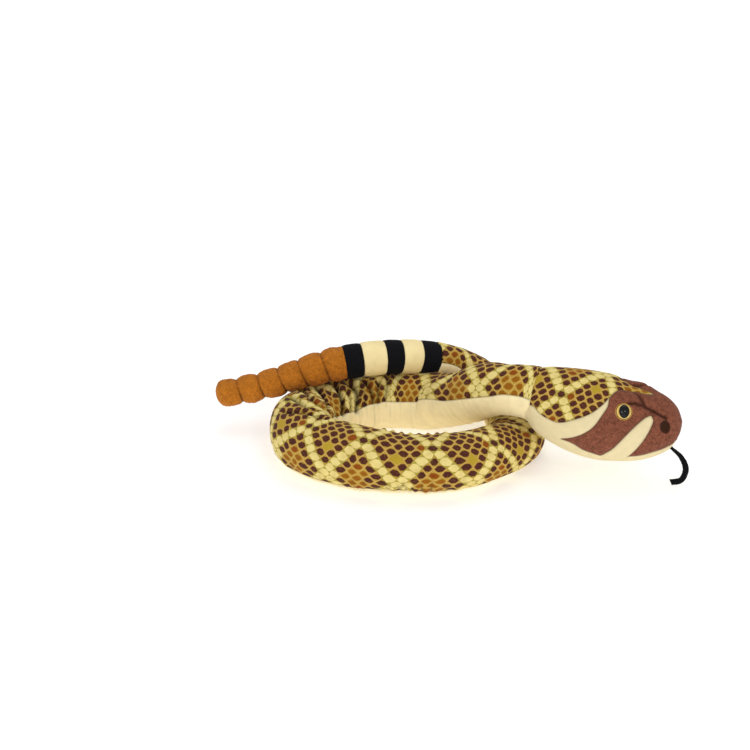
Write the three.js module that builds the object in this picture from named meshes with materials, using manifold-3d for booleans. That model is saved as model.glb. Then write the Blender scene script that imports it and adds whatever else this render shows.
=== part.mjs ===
// A life-size plush toy rattlesnake, coiled in one flat loop with its head laid over the coil and its banded
// tail and rattle resting on its own back. Every stuffed length is its own closed solid.
// Millimetres, +Z up, +X towards the head. The snake's right side faces -Y, and the floor is z = 0.

import * as THREE from "three";
import Module from "manifold-3d";

const wasm = await Module();
wasm.setup();

// Driving dimensions of the stuffed tube
const tailRadius = 20.8;
// length behind the head, and radius there: the cloth is piled up in the middle run and the left turn
const girthStations = [
  [0, 29],
  [90, 35],
  [160, 36],
  [330, 36],
  [400, 37.5],
  [460, 37.5],
  [530, 34.5],
  [610, 33.5],
  [880, tailRadius],
];
const napeRise = 8; // the tube's upper half stands this much fuller where it meets the head
const napeReach = 40; // length over which the fuller nape evens out
const seamGap = 0.3;
const tubeSides = 20;
const ringStep = 11;

// Driving dimensions of the tail
const lobeLengths = [23.3, 27.2, 26.3, 27, 26.3, 28.9]; // from the bands to the rattle's tip
const tipLobeRadius = 16;
const tipCapLength = 13.6;
const grooveDepth = 2.2;
const lobeSteps = 8;
const capSteps = 5;
const bandLengths = [21.5, 23, 20.5, 27.5, 21]; // from the body to the rattle
const bandSeamDepth = 1.2;
const bandPull = [1, 0.25, 0, 0.25, 1]; // shares of that depth from one seam of a band to the next

// Driving dimensions of the head
const headLength = 170;
const noseRise = 1.5; // the nose's point past the last ring
const headSides = 28;
const headStations = 22;
const jowlBoxiness = 0.84; // under the axis: 1 is an oval section, and less is boxier
const crownTaper = 0.2; // share by which a section narrows towards its top
const eyeRadius = 9.6;
const eyeHeight = 6;
const eyeDepth = 4;
const eyeFootRadius = 8.8; // the buried foot of the button
const eyeRimDepth = 1;
const eyeSides = 20;
const domeSteps = 5;
const tongueThickness = 1.8;
const tongueRootWidth = 3.6;
const tongueWidth = 7;
const tongueSteps = 14;
const tongueFacing = new THREE.Vector3(0.2, -1, 0.25).normalize();

// The point of the layout below that the part's own origin stands on: the middle of the snake's box, on the floor
const originAt = new THREE.Vector3(-3.71, 87.32, 0);

// Finishes
const finish = (color, roughness = 0.9) =>
  new THREE.MeshStandardMaterial({ color, roughness, metalness: 0 });
const printedPlush = finish(0x9a8446);
const brownPlush = finish(0x7c473c);
const creamPlush = finish(0xeadfb6);
const blackPlush = finish(0x17181c);
const rattleFleece = finish(0xb9742a);
const blackFelt = finish(0x161616, 0.95);
const eyePlastic = finish(0x5a3a10, 0.15);

// The route of the tube's middle from the head joint to the rattle's tip: x, y, z and the share by which the
// stuffing is squashed flat there
const route = [
  // over the coil, then down and back to the far side
  [97, 62, 87, 0.04],
  [74, 69, 89, 0.05],
  [46, 87, 81, 0.06],
  [16, 112, 57.5, 0.1],
  [-20, 146, 32.5, 0.16],
  [-60, 154, 30, 0.16],
  [-100, 147, 30, 0.16],
  [-138, 133, 27, 0.25],
  // the left turn
  [-164, 111, 28, 0.24],
  [-172, 80, 33.5, 0.06],
  [-166, 46, 33.5, 0.06],
  [-145, 22, 33.5, 0.06],
  // the front run
  [-109, 6, 33.5, 0.06],
  [-54, -6, 33, 0.06],
  [-10, -3, 32.4, 0.06],
  [20, 8, 31.5, 0.08],
  // the right turn, pressed flat under the neck
  [53, 36, 29, 0.13],
  [75, 68, 24.8, 0.22],
  [77, 100, 23.4, 0.22],
  [70, 134, 24.5, 0.18],
  // up behind the middle run and onto it
  [54, 168, 33, 0],
  [36, 191, 46.5, 0],
  [10, 194, 60, 0],
  [-26, 179, 76, 0],
  // the banded tail
  [-66, 165, 83.6, 0],
  [-125, 149, 82.8, 0],
  // the rattle, drooping past the left turn
  [-165, 142, 74.3, 0],
  [-219, 138, 56, 0],
  [-279, 132, 44.5, 0],
];

const up = new THREE.Vector3(0, 0, 1);
const middle = new THREE.CatmullRomCurve3(
  route.map(([x, y, z]) => new THREE.Vector3(x, y, z)),
  false,
  "centripetal",
);
middle.arcLengthDivisions = 3000;
const routeLength = middle.getLength();
const total = (lengths) => lengths.reduce((sum, length) => sum + length, 0);
const rattleLength = total(lobeLengths);
const bandsLength = total(bandLengths);
const bodyLength = routeLength - rattleLength - bandsLength;

const smoothstep = THREE.MathUtils.smoothstep;
const lerp = THREE.MathUtils.lerp;

// The squash at a length along the route, eased between the route's points.
function squashAt(length) {
  const place = middle.getUtoTmapping(length / routeLength) * (route.length - 1);
  const i = Math.min(Math.floor(place), route.length - 2);
  return lerp(route[i][3], route[i + 1][3], smoothstep(place - i, 0, 1));
}

// The tube's radius at a length along the route, eased between the stations.
function girthAt(length) {
  const passed = girthStations.findLastIndex(([place]) => place <= length);
  const i = THREE.MathUtils.clamp(passed, 0, girthStations.length - 2);
  const [[from, before], [to, after]] = girthStations.slice(i, i + 2);
  return lerp(before, after, smoothstep(length, from, to));
}

// A ring of the tube: an oval across the route, fuller on top behind the head, with its underside flat where it
// would pass the floor.
function tubeRing(length, radius) {
  const share = THREE.MathUtils.clamp(length / routeLength, 0, 1);
  const centre = middle.getPointAt(share);
  const along = middle.getTangentAt(share);
  const side = along.clone().cross(up).normalize();
  const over = side.clone().cross(along);
  const squash = squashAt(length);
  const nape = napeRise * (1 - smoothstep(length, 0, napeReach));
  const ring = [];
  for (let i = 0; i < tubeSides; i++) {
    const turn = (2 * Math.PI * i) / tubeSides;
    const topShare = Math.max(Math.sin(turn), 0);
    const point = centre
      .clone()
      .addScaledVector(side, radius * (1 + squash / 2) * Math.cos(turn))
      .addScaledVector(over, radius * (1 - squash) * Math.sin(turn) + nape * topShare * topShare);
    point.z = Math.max(point.z, 0);
    ring.push(point);
  }
  return ring;
}

function middleOf(ring) {
  const sum = ring.reduce((total, point) => total.add(point), new THREE.Vector3());
  return sum.divideScalar(ring.length);
}

// A closed skin through rings of equal count, closed at each end by a fan to one point.
function loft(rings, first = middleOf(rings[0]), last = middleOf(rings.at(-1))) {
  const sides = rings[0].length;
  const points = [...rings.flat(), first, last];
  const firstIndex = points.length - 2;
  const lastIndex = points.length - 1;
  const lastRing = (rings.length - 1) * sides;
  const index = [];
  for (let i = 0; i < sides; i++) {
    const next = (i + 1) % sides;
    index.push(firstIndex, i, next, lastIndex, lastRing + next, lastRing + i);
    for (let j = 0; j < rings.length - 1; j++) {
      const here = j * sides;
      const beyond = here + sides;
      index.push(here + i, beyond + i, here + next, here + next, beyond + i, beyond + next);
    }
  }
  return new THREE.BufferGeometry().setFromPoints(points).setIndex(index);
}

// A length of tube whose radius follows a function of the share of the way along it.
function tubeLength(start, end, steps, radiusAt) {
  const rings = [];
  for (let i = 0; i <= steps; i++) {
    const share = i / steps;
    rings.push(tubeRing(lerp(start, end, share), radiusAt(share)));
  }
  return rings;
}

// Joining and cutting
function solidOf(geometry) {
  return new wasm.Manifold(
    new wasm.Mesh({
      numProp: 3,
      vertProperties: geometry.getAttribute("position").array,
      triVerts: new Uint32Array(geometry.getIndex().array),
    }),
  );
}

// The largest closed body of a solid, without loose scraps of a cut.
function largestOf(solid) {
  return solid.decompose().reduce((best, body) => (body.volume() > best.volume() ? body : best));
}

function geometryOf(solid) {
  const mesh = solid.getMesh();
  return new THREE.BufferGeometry()
    .setAttribute("position", new THREE.BufferAttribute(mesh.vertProperties, 3))
    .setIndex(new THREE.BufferAttribute(mesh.triVerts, 1));
}

const group = new THREE.Group();
group.position.copy(originAt).negate();

function addPart(name, geometry, material) {
  const mesh = new THREE.Mesh(geometry, material);
  mesh.name = name;
  geometry.computeVertexNormals();
  group.add(mesh);
}

// Body: the neck, then lengths of the loop
const neckLength = 88;
const bodyLengths = 8;

function addBody() {
  const cuts = [0, neckLength];
  for (let i = 1; i <= bodyLengths; i++) {
    cuts.push(lerp(neckLength, bodyLength, i / bodyLengths));
  }
  cuts.slice(1).forEach((end, i) => {
    const from = cuts[i] + seamGap / 2;
    const to = end - seamGap / 2;
    const steps = Math.round((to - from) / ringStep);
    const rings = tubeLength(from, to, steps, (share) => girthAt(lerp(from, to, share)));
    addPart(i === 0 ? "neck" : `body_${i}`, loft(rings), printedPlush);
  });
}

// Tail bands: short drums pulled in at the seams
function addTailBands() {
  const steps = bandPull.length - 1;
  let start = bodyLength;
  bandLengths.forEach((length, i) => {
    const from = start + seamGap / 2;
    const to = start + length - seamGap / 2;
    const radiusAt = (share) => tailRadius - bandSeamDepth * bandPull[Math.round(share * steps)];
    const material = i % 2 === 0 ? blackPlush : creamPlush;
    addPart(`tail_band_${i + 1}`, loft(tubeLength(from, to, steps, radiusAt)), material);
    start += length;
  });
}

// Rattle: round lobes that shrink to the tip, with a groove at each seam
function lobeRadius(lobe, share) {
  const crest = lerp(tailRadius, tipLobeRadius, (lobe + share) / lobeLengths.length);
  return crest - grooveDepth * (1 - Math.sqrt(Math.sin(Math.PI * share)));
}

// The tip's rings: half a lobe that swells to its crest, then a round cap.
function tipLobeRings(lobe, from) {
  const shoulder = routeLength - tipCapLength;
  const rings = tubeLength(from, shoulder, lobeSteps / 2, (share) => lobeRadius(lobe, share / 2));
  for (let i = 1; i < capSteps; i++) {
    const turn = (i / capSteps) * (Math.PI / 2);
    const length = lerp(shoulder, routeLength, Math.sin(turn));
    rings.push(tubeRing(length, lobeRadius(lobe, 0.5) * Math.cos(turn)));
  }
  return rings;
}

function addRattle() {
  let start = bodyLength + bandsLength;
  lobeLengths.forEach((length, lobe) => {
    const from = start + seamGap / 2;
    const to = start + length - seamGap / 2;
    const name = `rattle_${lobe + 1}`;
    if (lobe === lobeLengths.length - 1) {
      addPart(name, loft(tipLobeRings(lobe, from), undefined, middle.getPointAt(1)), rattleFleece);
    } else {
      addPart(name, loft(tubeLength(from, to, lobeSteps, (share) => lobeRadius(lobe, share))), rattleFleece);
    }
    start += length;
  });
}

// Head
const headStart = middle.getPointAt(0);
const headAlong = middle.getTangentAt(0).negate();
const headSide = headAlong.clone().cross(up).normalize();
const headOver = headSide.clone().cross(headAlong);

// Stations of the head from the joint to the nose: length, half width, height over the axis, depth under it
const headProfile = [
  [0, 29, 34, 28],
  [5, 33, 36.5, 33],
  [14, 38, 39, 39],
  [34, 44, 42, 46.5],
  [58, 49, 44.5, 51.5],
  [84, 52, 44.5, 52],
  [108, 44, 38.5, 50],
  [130, 36, 37.5, 45],
  [148, 29, 35.5, 36],
  [162, 21, 26, 24.5],
  [170, 11, 12, 10.5],
];
const profileCurve = (column) =>
  new THREE.SplineCurve(headProfile.map((row) => new THREE.Vector2(row[0], row[column])));
const [halfWidth, heightOver, depthUnder] = [1, 2, 3].map(profileCurve);

// The value of a profile curve at a length along the head, found by halving.
function profileAt(curve, length) {
  let [low, high] = [0, 1];
  for (let i = 0; i < 30; i++) {
    const half = (low + high) / 2;
    if (curve.getPoint(half).x < length) low = half;
    else high = half;
  }
  return curve.getPoint(low).y;
}

// Raised brows over the eyes, the left one mirrored from the right: place, reach and rise
const browLength = 118;
const browTurn = 1.05;
const browReach = [18, 0.26]; // along the head, and round it in radians
const browRise = 6;

function browRiseAt(length, turn) {
  const alongShare = (length - browLength) / browReach[0];
  return [browTurn, Math.PI - browTurn].reduce((rise, middleTurn) => {
    const turnShare = (turn - middleTurn) / browReach[1];
    return rise + browRise * Math.exp(-alongShare * alongShare - turnShare * turnShare);
  }, 0);
}

// A sine or cosine made fuller, so that the jowls are between an oval and a box.
function boxed(value) {
  return Math.sign(value) * Math.abs(value) ** jowlBoxiness;
}

function headPoint(length, turn) {
  const crown = Math.sin(turn) >= 0;
  const share = crown ? Math.cos(turn) * (1 - crownTaper * Math.sin(turn)) : boxed(Math.cos(turn));
  const across = profileAt(halfWidth, length) * share;
  const height = crown
    ? profileAt(heightOver, length) * Math.sin(turn)
    : profileAt(depthUnder, length) * boxed(Math.sin(turn));
  const outward = headSide
    .clone()
    .multiplyScalar(Math.cos(turn))
    .addScaledVector(headOver, Math.sin(turn));
  return headStart
    .clone()
    .addScaledVector(headAlong, length)
    .addScaledVector(headSide, across)
    .addScaledVector(headOver, height)
    .addScaledVector(outward, browRiseAt(length, turn));
}

function headRing(length) {
  return Array.from({ length: headSides }, (_, i) => headPoint(length, (2 * Math.PI * i) / headSides));
}

// Eyes: a domed button whose rim sits in a pocket of the head
const eyeLength = 109;
const eyeTurn = 0.64;

function eyeRings(point, normal, profile) {
  const across = new THREE.Vector3().crossVectors(up, normal).normalize();
  const rise = new THREE.Vector3().crossVectors(across, normal);
  return profile.map(([height, radius]) =>
    Array.from({ length: eyeSides }, (_, i) => {
      const turn = (2 * Math.PI * i) / eyeSides;
      return point
        .clone()
        .addScaledVector(normal, height)
        .addScaledVector(across, radius * Math.cos(turn))
        .addScaledVector(rise, radius * Math.sin(turn));
    }),
  );
}

function eyeShapes(turn) {
  const point = headPoint(eyeLength, turn);
  const alongStep = headPoint(eyeLength + 1, turn).sub(headPoint(eyeLength - 1, turn));
  const turnStep = headPoint(eyeLength, turn + 0.02).sub(headPoint(eyeLength, turn - 0.02));
  const normal = alongStep.cross(turnStep).normalize();
  const profile = [
    [-eyeDepth, eyeFootRadius],
    [-eyeRimDepth, eyeRadius],
  ];
  for (let i = 0; i < domeSteps; i++) {
    const lift = (i / domeSteps) * (Math.PI / 2);
    profile.push([eyeHeight * Math.sin(lift), eyeRadius * Math.cos(lift)]);
  }
  const pole = point.clone().addScaledVector(normal, eyeHeight);
  const pocket = [
    [-eyeDepth - seamGap, eyeRadius + seamGap],
    [3 * eyeHeight, eyeRadius + seamGap],
  ];
  return {
    dome: loft(eyeRings(point, normal, profile), undefined, pole),
    pocket: loft(eyeRings(point, normal, pocket)),
  };
}

// Tongue: a flat strip of felt that hooks down and back, with a slot in the mouth seam behind its root
const tonguePath = new THREE.CatmullRomCurve3([
  new THREE.Vector3(244, 15, 56),
  new THREE.Vector3(252, 13, 49),
  new THREE.Vector3(263, 10, 39),
  new THREE.Vector3(268.5, 8, 25),
  new THREE.Vector3(264, 8, 11),
  new THREE.Vector3(253, 10, 7),
]);

function tongueRings(margin) {
  const rings = [];
  for (let i = 0; i <= tongueSteps; i++) {
    const share = i / tongueSteps;
    const centre = tonguePath.getPointAt(share);
    const along = tonguePath.getTangentAt(share);
    const across = along.clone().cross(tongueFacing).normalize();
    const normal = across.clone().cross(along);
    const half = lerp(tongueRootWidth, tongueWidth, smoothstep(share, 0.1, 0.6)) / 2 + margin;
    const thick = tongueThickness / 2 + margin;
    const corners = [
      [half, -thick],
      [half, thick],
      [-half, thick],
      [-half, -thick],
    ];
    rings.push(
      corners.map(([a, n]) => centre.clone().addScaledVector(across, a).addScaledVector(normal, n)),
    );
  }
  return rings;
}

function addHead() {
  const rings = [];
  for (let i = 0; i <= headStations; i++) {
    const share = Math.sin((i / headStations) * (Math.PI / 2));
    rings.push(headRing(lerp(seamGap / 2, headLength, share)));
  }
  const nose = headStart.clone().addScaledVector(headAlong, headLength + noseRise);
  const right = eyeShapes(eyeTurn);
  const left = eyeShapes(Math.PI - eyeTurn);
  const slot = loft(tongueRings(seamGap));
  const head = solidOf(loft(rings, undefined, nose))
    .subtract(solidOf(right.pocket))
    .subtract(solidOf(left.pocket))
    .subtract(solidOf(slot));
  addPart("head", geometryOf(largestOf(head)), brownPlush);
  addPart("eye_right", right.dome, eyePlastic);
  addPart("eye_left", left.dome, eyePlastic);
  addPart("tongue", loft(tongueRings(0)), blackFelt);
}

addHead();
addBody();
addTailBands();
addRattle();

export default group;
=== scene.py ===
"""A life-size stuffed plush rattlesnake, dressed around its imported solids.

The toy lies in one flat loop: the head rests on the coil, the middle run lies behind the front run, and the
banded tail and its fleece rattle rest on the snake's own back. Everything is in metres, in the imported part's
frame: +X towards the head's end, +Y away from the viewer, +Z up, with the floor at z = 0.
"""

from __future__ import annotations

import logging
import math
from dataclasses import dataclass, field
from enum import Enum
from typing import Sequence, Union

import bpy
import numpy as np
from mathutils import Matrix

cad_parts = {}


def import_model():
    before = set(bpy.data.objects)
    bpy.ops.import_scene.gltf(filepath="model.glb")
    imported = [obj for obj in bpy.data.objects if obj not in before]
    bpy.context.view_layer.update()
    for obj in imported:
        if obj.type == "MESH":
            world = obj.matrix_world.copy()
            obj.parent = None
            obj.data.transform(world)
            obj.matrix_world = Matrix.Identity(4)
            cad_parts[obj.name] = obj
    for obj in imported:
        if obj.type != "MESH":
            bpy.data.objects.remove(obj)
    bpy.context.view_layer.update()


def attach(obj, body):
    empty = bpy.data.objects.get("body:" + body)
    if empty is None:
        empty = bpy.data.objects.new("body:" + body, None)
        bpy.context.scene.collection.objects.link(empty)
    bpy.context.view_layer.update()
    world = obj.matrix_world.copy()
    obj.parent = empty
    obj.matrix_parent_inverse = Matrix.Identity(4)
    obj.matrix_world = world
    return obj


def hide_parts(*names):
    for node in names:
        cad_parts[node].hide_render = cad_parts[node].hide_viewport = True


LOG = logging.getLogger("plush_snake")
MM = 0.001
UP = np.array([0.0, 0.0, 1.0])
LAYOUT_ORIGIN = np.array([-3.71, 87.32, 0.0]) * MM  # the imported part's origin in the layout of the route
ROOT_BODY = "root"
BODY_NODES = 8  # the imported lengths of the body, behind the neck
CHART = "Fabric"  # the name of every skin's UV map

Colour = tuple[float, float, float]
Bound = Union[float, np.ndarray]
Pairs = tuple[tuple[float, float], ...]


class Slot(Enum):
    """The record's material slots."""

    PRINTED = "printed_plush"
    BROWN = "brown_plush"
    CREAM = "cream_plush"
    BLACK = "black_plush"
    FLEECE = "rattle_fleece"
    EYE = "eye_plastic"
    FELT = "black_felt"


class Side(Enum):
    """The snake's own right and left. The right side faces the viewer at the head."""

    RIGHT = "right"
    LEFT = "left"


# Small maths


def unit(vectors: np.ndarray) -> np.ndarray:
    """Vectors divided by their own lengths along the last axis.

    Args:
        vectors: An array whose last axis holds x, y, z.

    Returns:
        An array of the same shape, of length 1 along the last axis.
    """
    return vectors / np.maximum(np.linalg.norm(vectors, axis=-1, keepdims=True), 1e-12)


def eased(value: np.ndarray, low: Bound, high: Bound) -> np.ndarray:
    """A smooth step: 3 t squared minus 2 t cubed, where t runs from 0 at low to 1 at high."""
    share = np.clip((value - low) / (high - low), 0.0, 1.0)
    return share * share * (3.0 - 2.0 * share)


def bump_at(value: np.ndarray, middle: float, reach: float) -> np.ndarray:
    """A bell: e to the minus square of the distance from the middle in units of the reach."""
    return np.exp(-(((value - middle) / reach) ** 2))
def running_total(steps: Sequence[float]) -> np.ndarray:
    """The sum of the steps before each place, from 0 to the sum of them all."""
    return np.concatenate([[0.0], np.cumsum(steps)])


def length_along(line: np.ndarray) -> np.ndarray:
    """The length from a line's start to each of its points, over its straight pieces."""
    return running_total(np.linalg.norm(np.diff(line, axis=0), axis=1))


def rows_at(value: np.ndarray, places: np.ndarray, rows: np.ndarray) -> np.ndarray:
    """Rows of x, y, z read at values, straight between the places where they are known."""
    return np.stack([np.interp(value, places, rows[:, axis]) for axis in range(3)], -1)


def turns_round(start: float, sides: int) -> np.ndarray:
    """Even turns round a section, from the start to one side short of a whole turn on."""
    return np.linspace(start, start + 2 * math.pi, sides, endpoint=False)


def powered(value: np.ndarray, power: float) -> np.ndarray:
    """The value's size to a power, with the value's sign. It makes a circle's sine and cosine boxier."""
    return np.sign(value) * np.abs(value) ** power
def through_stations(value: np.ndarray, stations: Sequence[tuple[float, float]]) -> np.ndarray:
    """A value eased from one station to the next.

    Args:
        value: Places at which the value is wanted.
        stations: Pairs of place and value, in rising order of place.

    Returns:
        The value at each place: a smooth step of the share of the way between its two stations.
    """
    places, levels = np.array(stations, float).T
    index = np.clip(np.searchsorted(places, value) - 1, 0, len(places) - 2)
    share = eased(value, places[index], places[index + 1])
    return levels[index] + (levels[index + 1] - levels[index]) * share


def through_table(value: np.ndarray, table: Pairs) -> np.ndarray:
    """A value read from the smooth curve through a table's pairs, which are in rising order of place."""
    curve = spline_points(table, 16, 1.0)
    return np.interp(value, curve[:, 0], curve[:, 1])


def spline_points(points: Union[np.ndarray, Pairs], steps: int = 6, power: float = 0.5) -> np.ndarray:
    """A Catmull-Rom curve through points, sampled evenly in each span.

    Each span is the cubic between its two points whose end slopes come from the neighbours, with knots
    spaced by the distance between points to the given power: 0.5 is centripetal and 0 is uniform.

    Args:
        points: Rows of coordinates.
        steps: Samples in each span.
        power: The power of the knot spacing.

    Returns:
        Rows of coordinates along the curve, the last point included.
    """
    points = np.array(points, float)
    before = points[0] if power == 0 else 2 * points[0] - points[1]
    after = points[-1] if power == 0 else 2 * points[-1] - points[-2]
    padded = np.vstack([before, points, after])
    gaps = np.maximum(np.linalg.norm(np.diff(padded, axis=0), axis=1), 1e-9) ** power
    p0, p1, p2, p3 = (padded[i : len(padded) - 3 + i, None, :] for i in range(4))
    d0, d1, d2 = (gaps[i : len(gaps) - 2 + i, None, None] for i in range(3))
    slope1 = ((p1 - p0) / d0 - (p2 - p0) / (d0 + d1) + (p2 - p1) / d1) * d1
    slope2 = ((p2 - p1) / d1 - (p3 - p1) / (d1 + d2) + (p3 - p2) / d2) * d1
    t = np.linspace(0.0, 1.0, steps, endpoint=False)[None, :, None]
    squared = -3 * p1 + 3 * p2 - 2 * slope1 - slope2
    cubed = 2 * p1 - 2 * p2 + slope1 + slope2
    spans = p1 + slope1 * t + squared * t**2 + cubed * t**3
    return np.vstack([spans.reshape(-1, points.shape[1]), points[-1:]])


def value_noise(x: np.ndarray, y: np.ndarray, seed: int) -> np.ndarray:
    """Smooth noise from -1 to 1 on a plane: random corner values of unit squares, eased between corners.

    Args:
        x: First coordinate, in cells.
        y: Second coordinate, in cells.
        seed: The seed of the corner values.

    Returns:
        The noise at each point.
    """
    size = 256
    corners = np.random.default_rng(seed).uniform(-1.0, 1.0, (size, size))
    x0, y0 = np.floor(x).astype(int), np.floor(y).astype(int)
    fx, fy = eased(x - x0, 0.0, 1.0), eased(y - y0, 0.0, 1.0)
    left, right = x0 % size, (x0 + 1) % size
    low, high = y0 % size, (y0 + 1) % size
    bottom = corners[left, low] * (1 - fx) + corners[right, low] * fx
    top = corners[left, high] * (1 - fx) + corners[right, high] * fx
    return bottom * (1 - fy) + top * fy


@dataclass(frozen=True)
class Lumps:
    """Smooth noise over a tube: its rise, the length of its cells, and how many there are in each radian.

    The seed picks the noise, and the shift moves it round the tube by that many cells.
    """

    rise: float
    length: float
    rate: float
    seed: int
    shift: float = 0.0

    def at(self, place: np.ndarray, turn: np.ndarray, number: int = 0) -> np.ndarray:
        """The rise over the tube.

        Args:
            place: Places along the tube.
            turn: Turns round it.
            number: Which of several like pieces it is, counted on to the seed.

        Returns:
            The rise, places by turns.
        """
        cells = turn[None] * self.rate + self.shift
        return self.rise * value_noise(place[:, None] / self.length, cells, self.seed + number)


def distance_to_line(x: np.ndarray, y: np.ndarray, line: np.ndarray) -> np.ndarray:
    """The distance of each point of a plane from a line of straight pieces.

    Args:
        x: First coordinate of the points.
        y: Second coordinate of the points.
        line: Rows of the line's corners.

    Returns:
        The least distance to any piece, in the shape of x.
    """
    points = np.stack([x.ravel(), y.ravel()], -1)[:, None, :]
    start, step = line[None, :-1, :], np.diff(line, axis=0)[None]
    share = ((points - start) * step).sum(-1) / np.maximum((step**2).sum(-1), 1e-18)
    nearest = start + np.clip(share, 0.0, 1.0)[..., None] * step
    return np.linalg.norm(points - nearest, axis=-1).min(1).reshape(x.shape)


def depth_inside(x: np.ndarray, y: np.ndarray, outline: np.ndarray) -> np.ndarray:
    """The distance from a closed outline, above 0 inside it and below 0 outside.

    A point is inside when a ray from it along +x crosses the outline an odd number of times.

    Args:
        x: First coordinate of the points.
        y: Second coordinate of the points.
        outline: Rows of the outline's corners, in order, the last joined to the first.

    Returns:
        The signed distance, in the shape of x.
    """
    closed = np.vstack([outline, outline[:1]])
    px, py = x.ravel()[:, None], y.ravel()[:, None]
    (x1, y1), (x2, y2) = closed[:-1].T, closed[1:].T
    spans = (y1 > py) != (y2 > py)
    with np.errstate(divide="ignore", invalid="ignore"):
        crossing = (x2 - x1) * (py - y1) / (y2 - y1) + x1
    inside = (spans & (px < crossing)).sum(1) % 2 == 1
    away = distance_to_line(x, y, closed)
    return np.where(inside.reshape(x.shape), away, -away)


# Meshes from grids


@dataclass
class Skin:
    """A closed tube of rings with what each vertex carries.

    points holds rings by sides by x, y, z. chart holds the fabric's own coordinates of each vertex, along and
    across, with one more side than points, so that the pattern meets itself at the last side. Without one it is
    all zeros. marks holds named numbers of each vertex, such as its distance from a seam.
    """

    points: np.ndarray
    chart: np.ndarray | None = None
    marks: dict[str, np.ndarray] = field(default_factory=dict)

    def __post_init__(self) -> None:
        """Lays out an empty chart where there is none."""
        if self.chart is None:
            rings, sides = self.points.shape[:2]
            self.chart = np.zeros((rings, sides + 1, 2))

    def vertices(self) -> np.ndarray:
        """All points as rows, then the poles that close the ends: the middles of the first and last ring."""
        return np.vstack([self.points.reshape(-1, 3), self.points[0].mean(0), self.points[-1].mean(0)])

    def _faces(self) -> tuple[np.ndarray, np.ndarray]:
        """The faces' vertex numbers: the quads between neighbouring rings, and the triangles to the poles.

        Returns:
            Rows of four numbers and rows of three.
        """
        rings, sides = self.points.shape[:2]
        ring = np.arange(rings - 1)[:, None] * sides
        side = np.arange(sides)[None, :]
        beyond, next_ring = (side + 1) % sides, ring + sides
        quads = np.stack([ring + side, next_ring + side, next_ring + beyond, ring + beyond], -1)
        here, there = np.arange(sides), (np.arange(sides) + 1) % sides
        last_ring, pole = (rings - 1) * sides, np.full(sides, rings * sides)
        start_fan = np.stack([pole, here, there], -1)
        end_fan = np.stack([pole + 1, last_ring + there, last_ring + here], -1)
        return quads.reshape(-1, 4), np.vstack([start_fan, end_fan])

    def _corner_chart(self) -> np.ndarray:
        """The chart at every face's corners, as rows: the quads first, and then the two fans."""
        chart, first, last = self.chart, self.chart[0], self.chart[-1]
        quads = np.stack([chart[:-1, :-1], chart[1:, :-1], chart[1:, 1:], chart[:-1, 1:]], 2)
        start_fan = np.stack([(first[:-1] + first[1:]) / 2, first[:-1], first[1:]], 1)
        end_fan = np.stack([(last[:-1] + last[1:]) / 2, last[1:], last[:-1]], 1)
        return np.vstack([part.reshape(-1, 2) for part in (quads, start_fan, end_fan)])

    def to_object(self, name: str) -> bpy.types.Object:
        """Puts the skin into a mesh object with its chart as the UV map and its marks as attributes.

        If the volume comes out negative, every face is turned round, so that the faces point outwards.

        Args:
            name: The object's name.

        Returns:
            The object, linked to the scene.
        """
        vertices = self.vertices()
        quads, fans = self._faces()
        corner = vertices[quads]
        halves = np.concatenate([corner[:, [0, 1, 2]], corner[:, [0, 2, 3]]])
        volume = np.einsum("ij,ij->i", halves[:, 0], np.cross(halves[:, 1], halves[:, 2])).sum() / 6.0
        mesh = bpy.data.meshes.new(name)
        mesh.from_pydata(vertices, [], quads.tolist() + fans.tolist())
        layer = mesh.uv_layers.new(name=CHART)
        layer.data.foreach_set("uv", self._corner_chart().astype(np.float32).ravel())
        for mark, values in self.marks.items():
            attribute = mesh.attributes.new(mark, "FLOAT", "POINT")
            ends = [values[0].mean(), values[-1].mean()]
            whole = np.concatenate([values.ravel(), ends]).astype(np.float32)
            attribute.data.foreach_set("value", whole)
        if volume < 0:
            mesh.flip_normals()
        mesh.polygons.foreach_set("use_smooth", np.ones(len(mesh.polygons), bool))
        mesh.update()
        made = bpy.data.objects.new(name, mesh)
        bpy.context.scene.collection.objects.link(made)
        return made


def outward_normals(points: np.ndarray, middle: np.ndarray) -> np.ndarray:
    """The outward direction at each vertex of a grid of rings.

    It is the cross product of the steps along and around the grid, turned away from the middle of its ring.

    Args:
        points: Rings by sides by x, y, z.
        middle: The middle of each ring.

    Returns:
        Unit vectors in the shape of points.
    """
    along = np.gradient(points, axis=0)
    around = np.roll(points, -1, axis=1) - np.roll(points, 1, axis=1)
    normal = unit(np.cross(along, around))
    facing = np.sign(((points - middle[:, None, :]) * normal).sum(-1).sum(1))
    return normal * facing[:, None, None]


def refined(values: np.ndarray) -> np.ndarray:
    """A grid with a row and a column added between each two, by a cubic through the four nearest.

    A midpoint is nine sixteenths of each near neighbour less one sixteenth of each far one. Columns close
    round, and rows repeat their ends.

    Args:
        values: Rows by columns by any further axis.

    Returns:
        A grid of 2 rows - 1 by 2 columns.
    """
    ends = np.concatenate([values[:1], values, values[-1:]])
    between = (9 * (ends[1:-2] + ends[2:-1]) - ends[:-3] - ends[3:]) / 16
    tall = np.empty((2 * len(values) - 1,) + values.shape[1:])
    tall[0::2], tall[1::2] = values, between
    around = (9 * (tall + np.roll(tall, -1, 1)) - np.roll(tall, 1, 1) - np.roll(tall, -2, 1)) / 16
    wide = np.empty((len(tall), 2 * tall.shape[1]) + tall.shape[2:])
    wide[:, 0::2], wide[:, 1::2] = tall, around
    return wide


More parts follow.
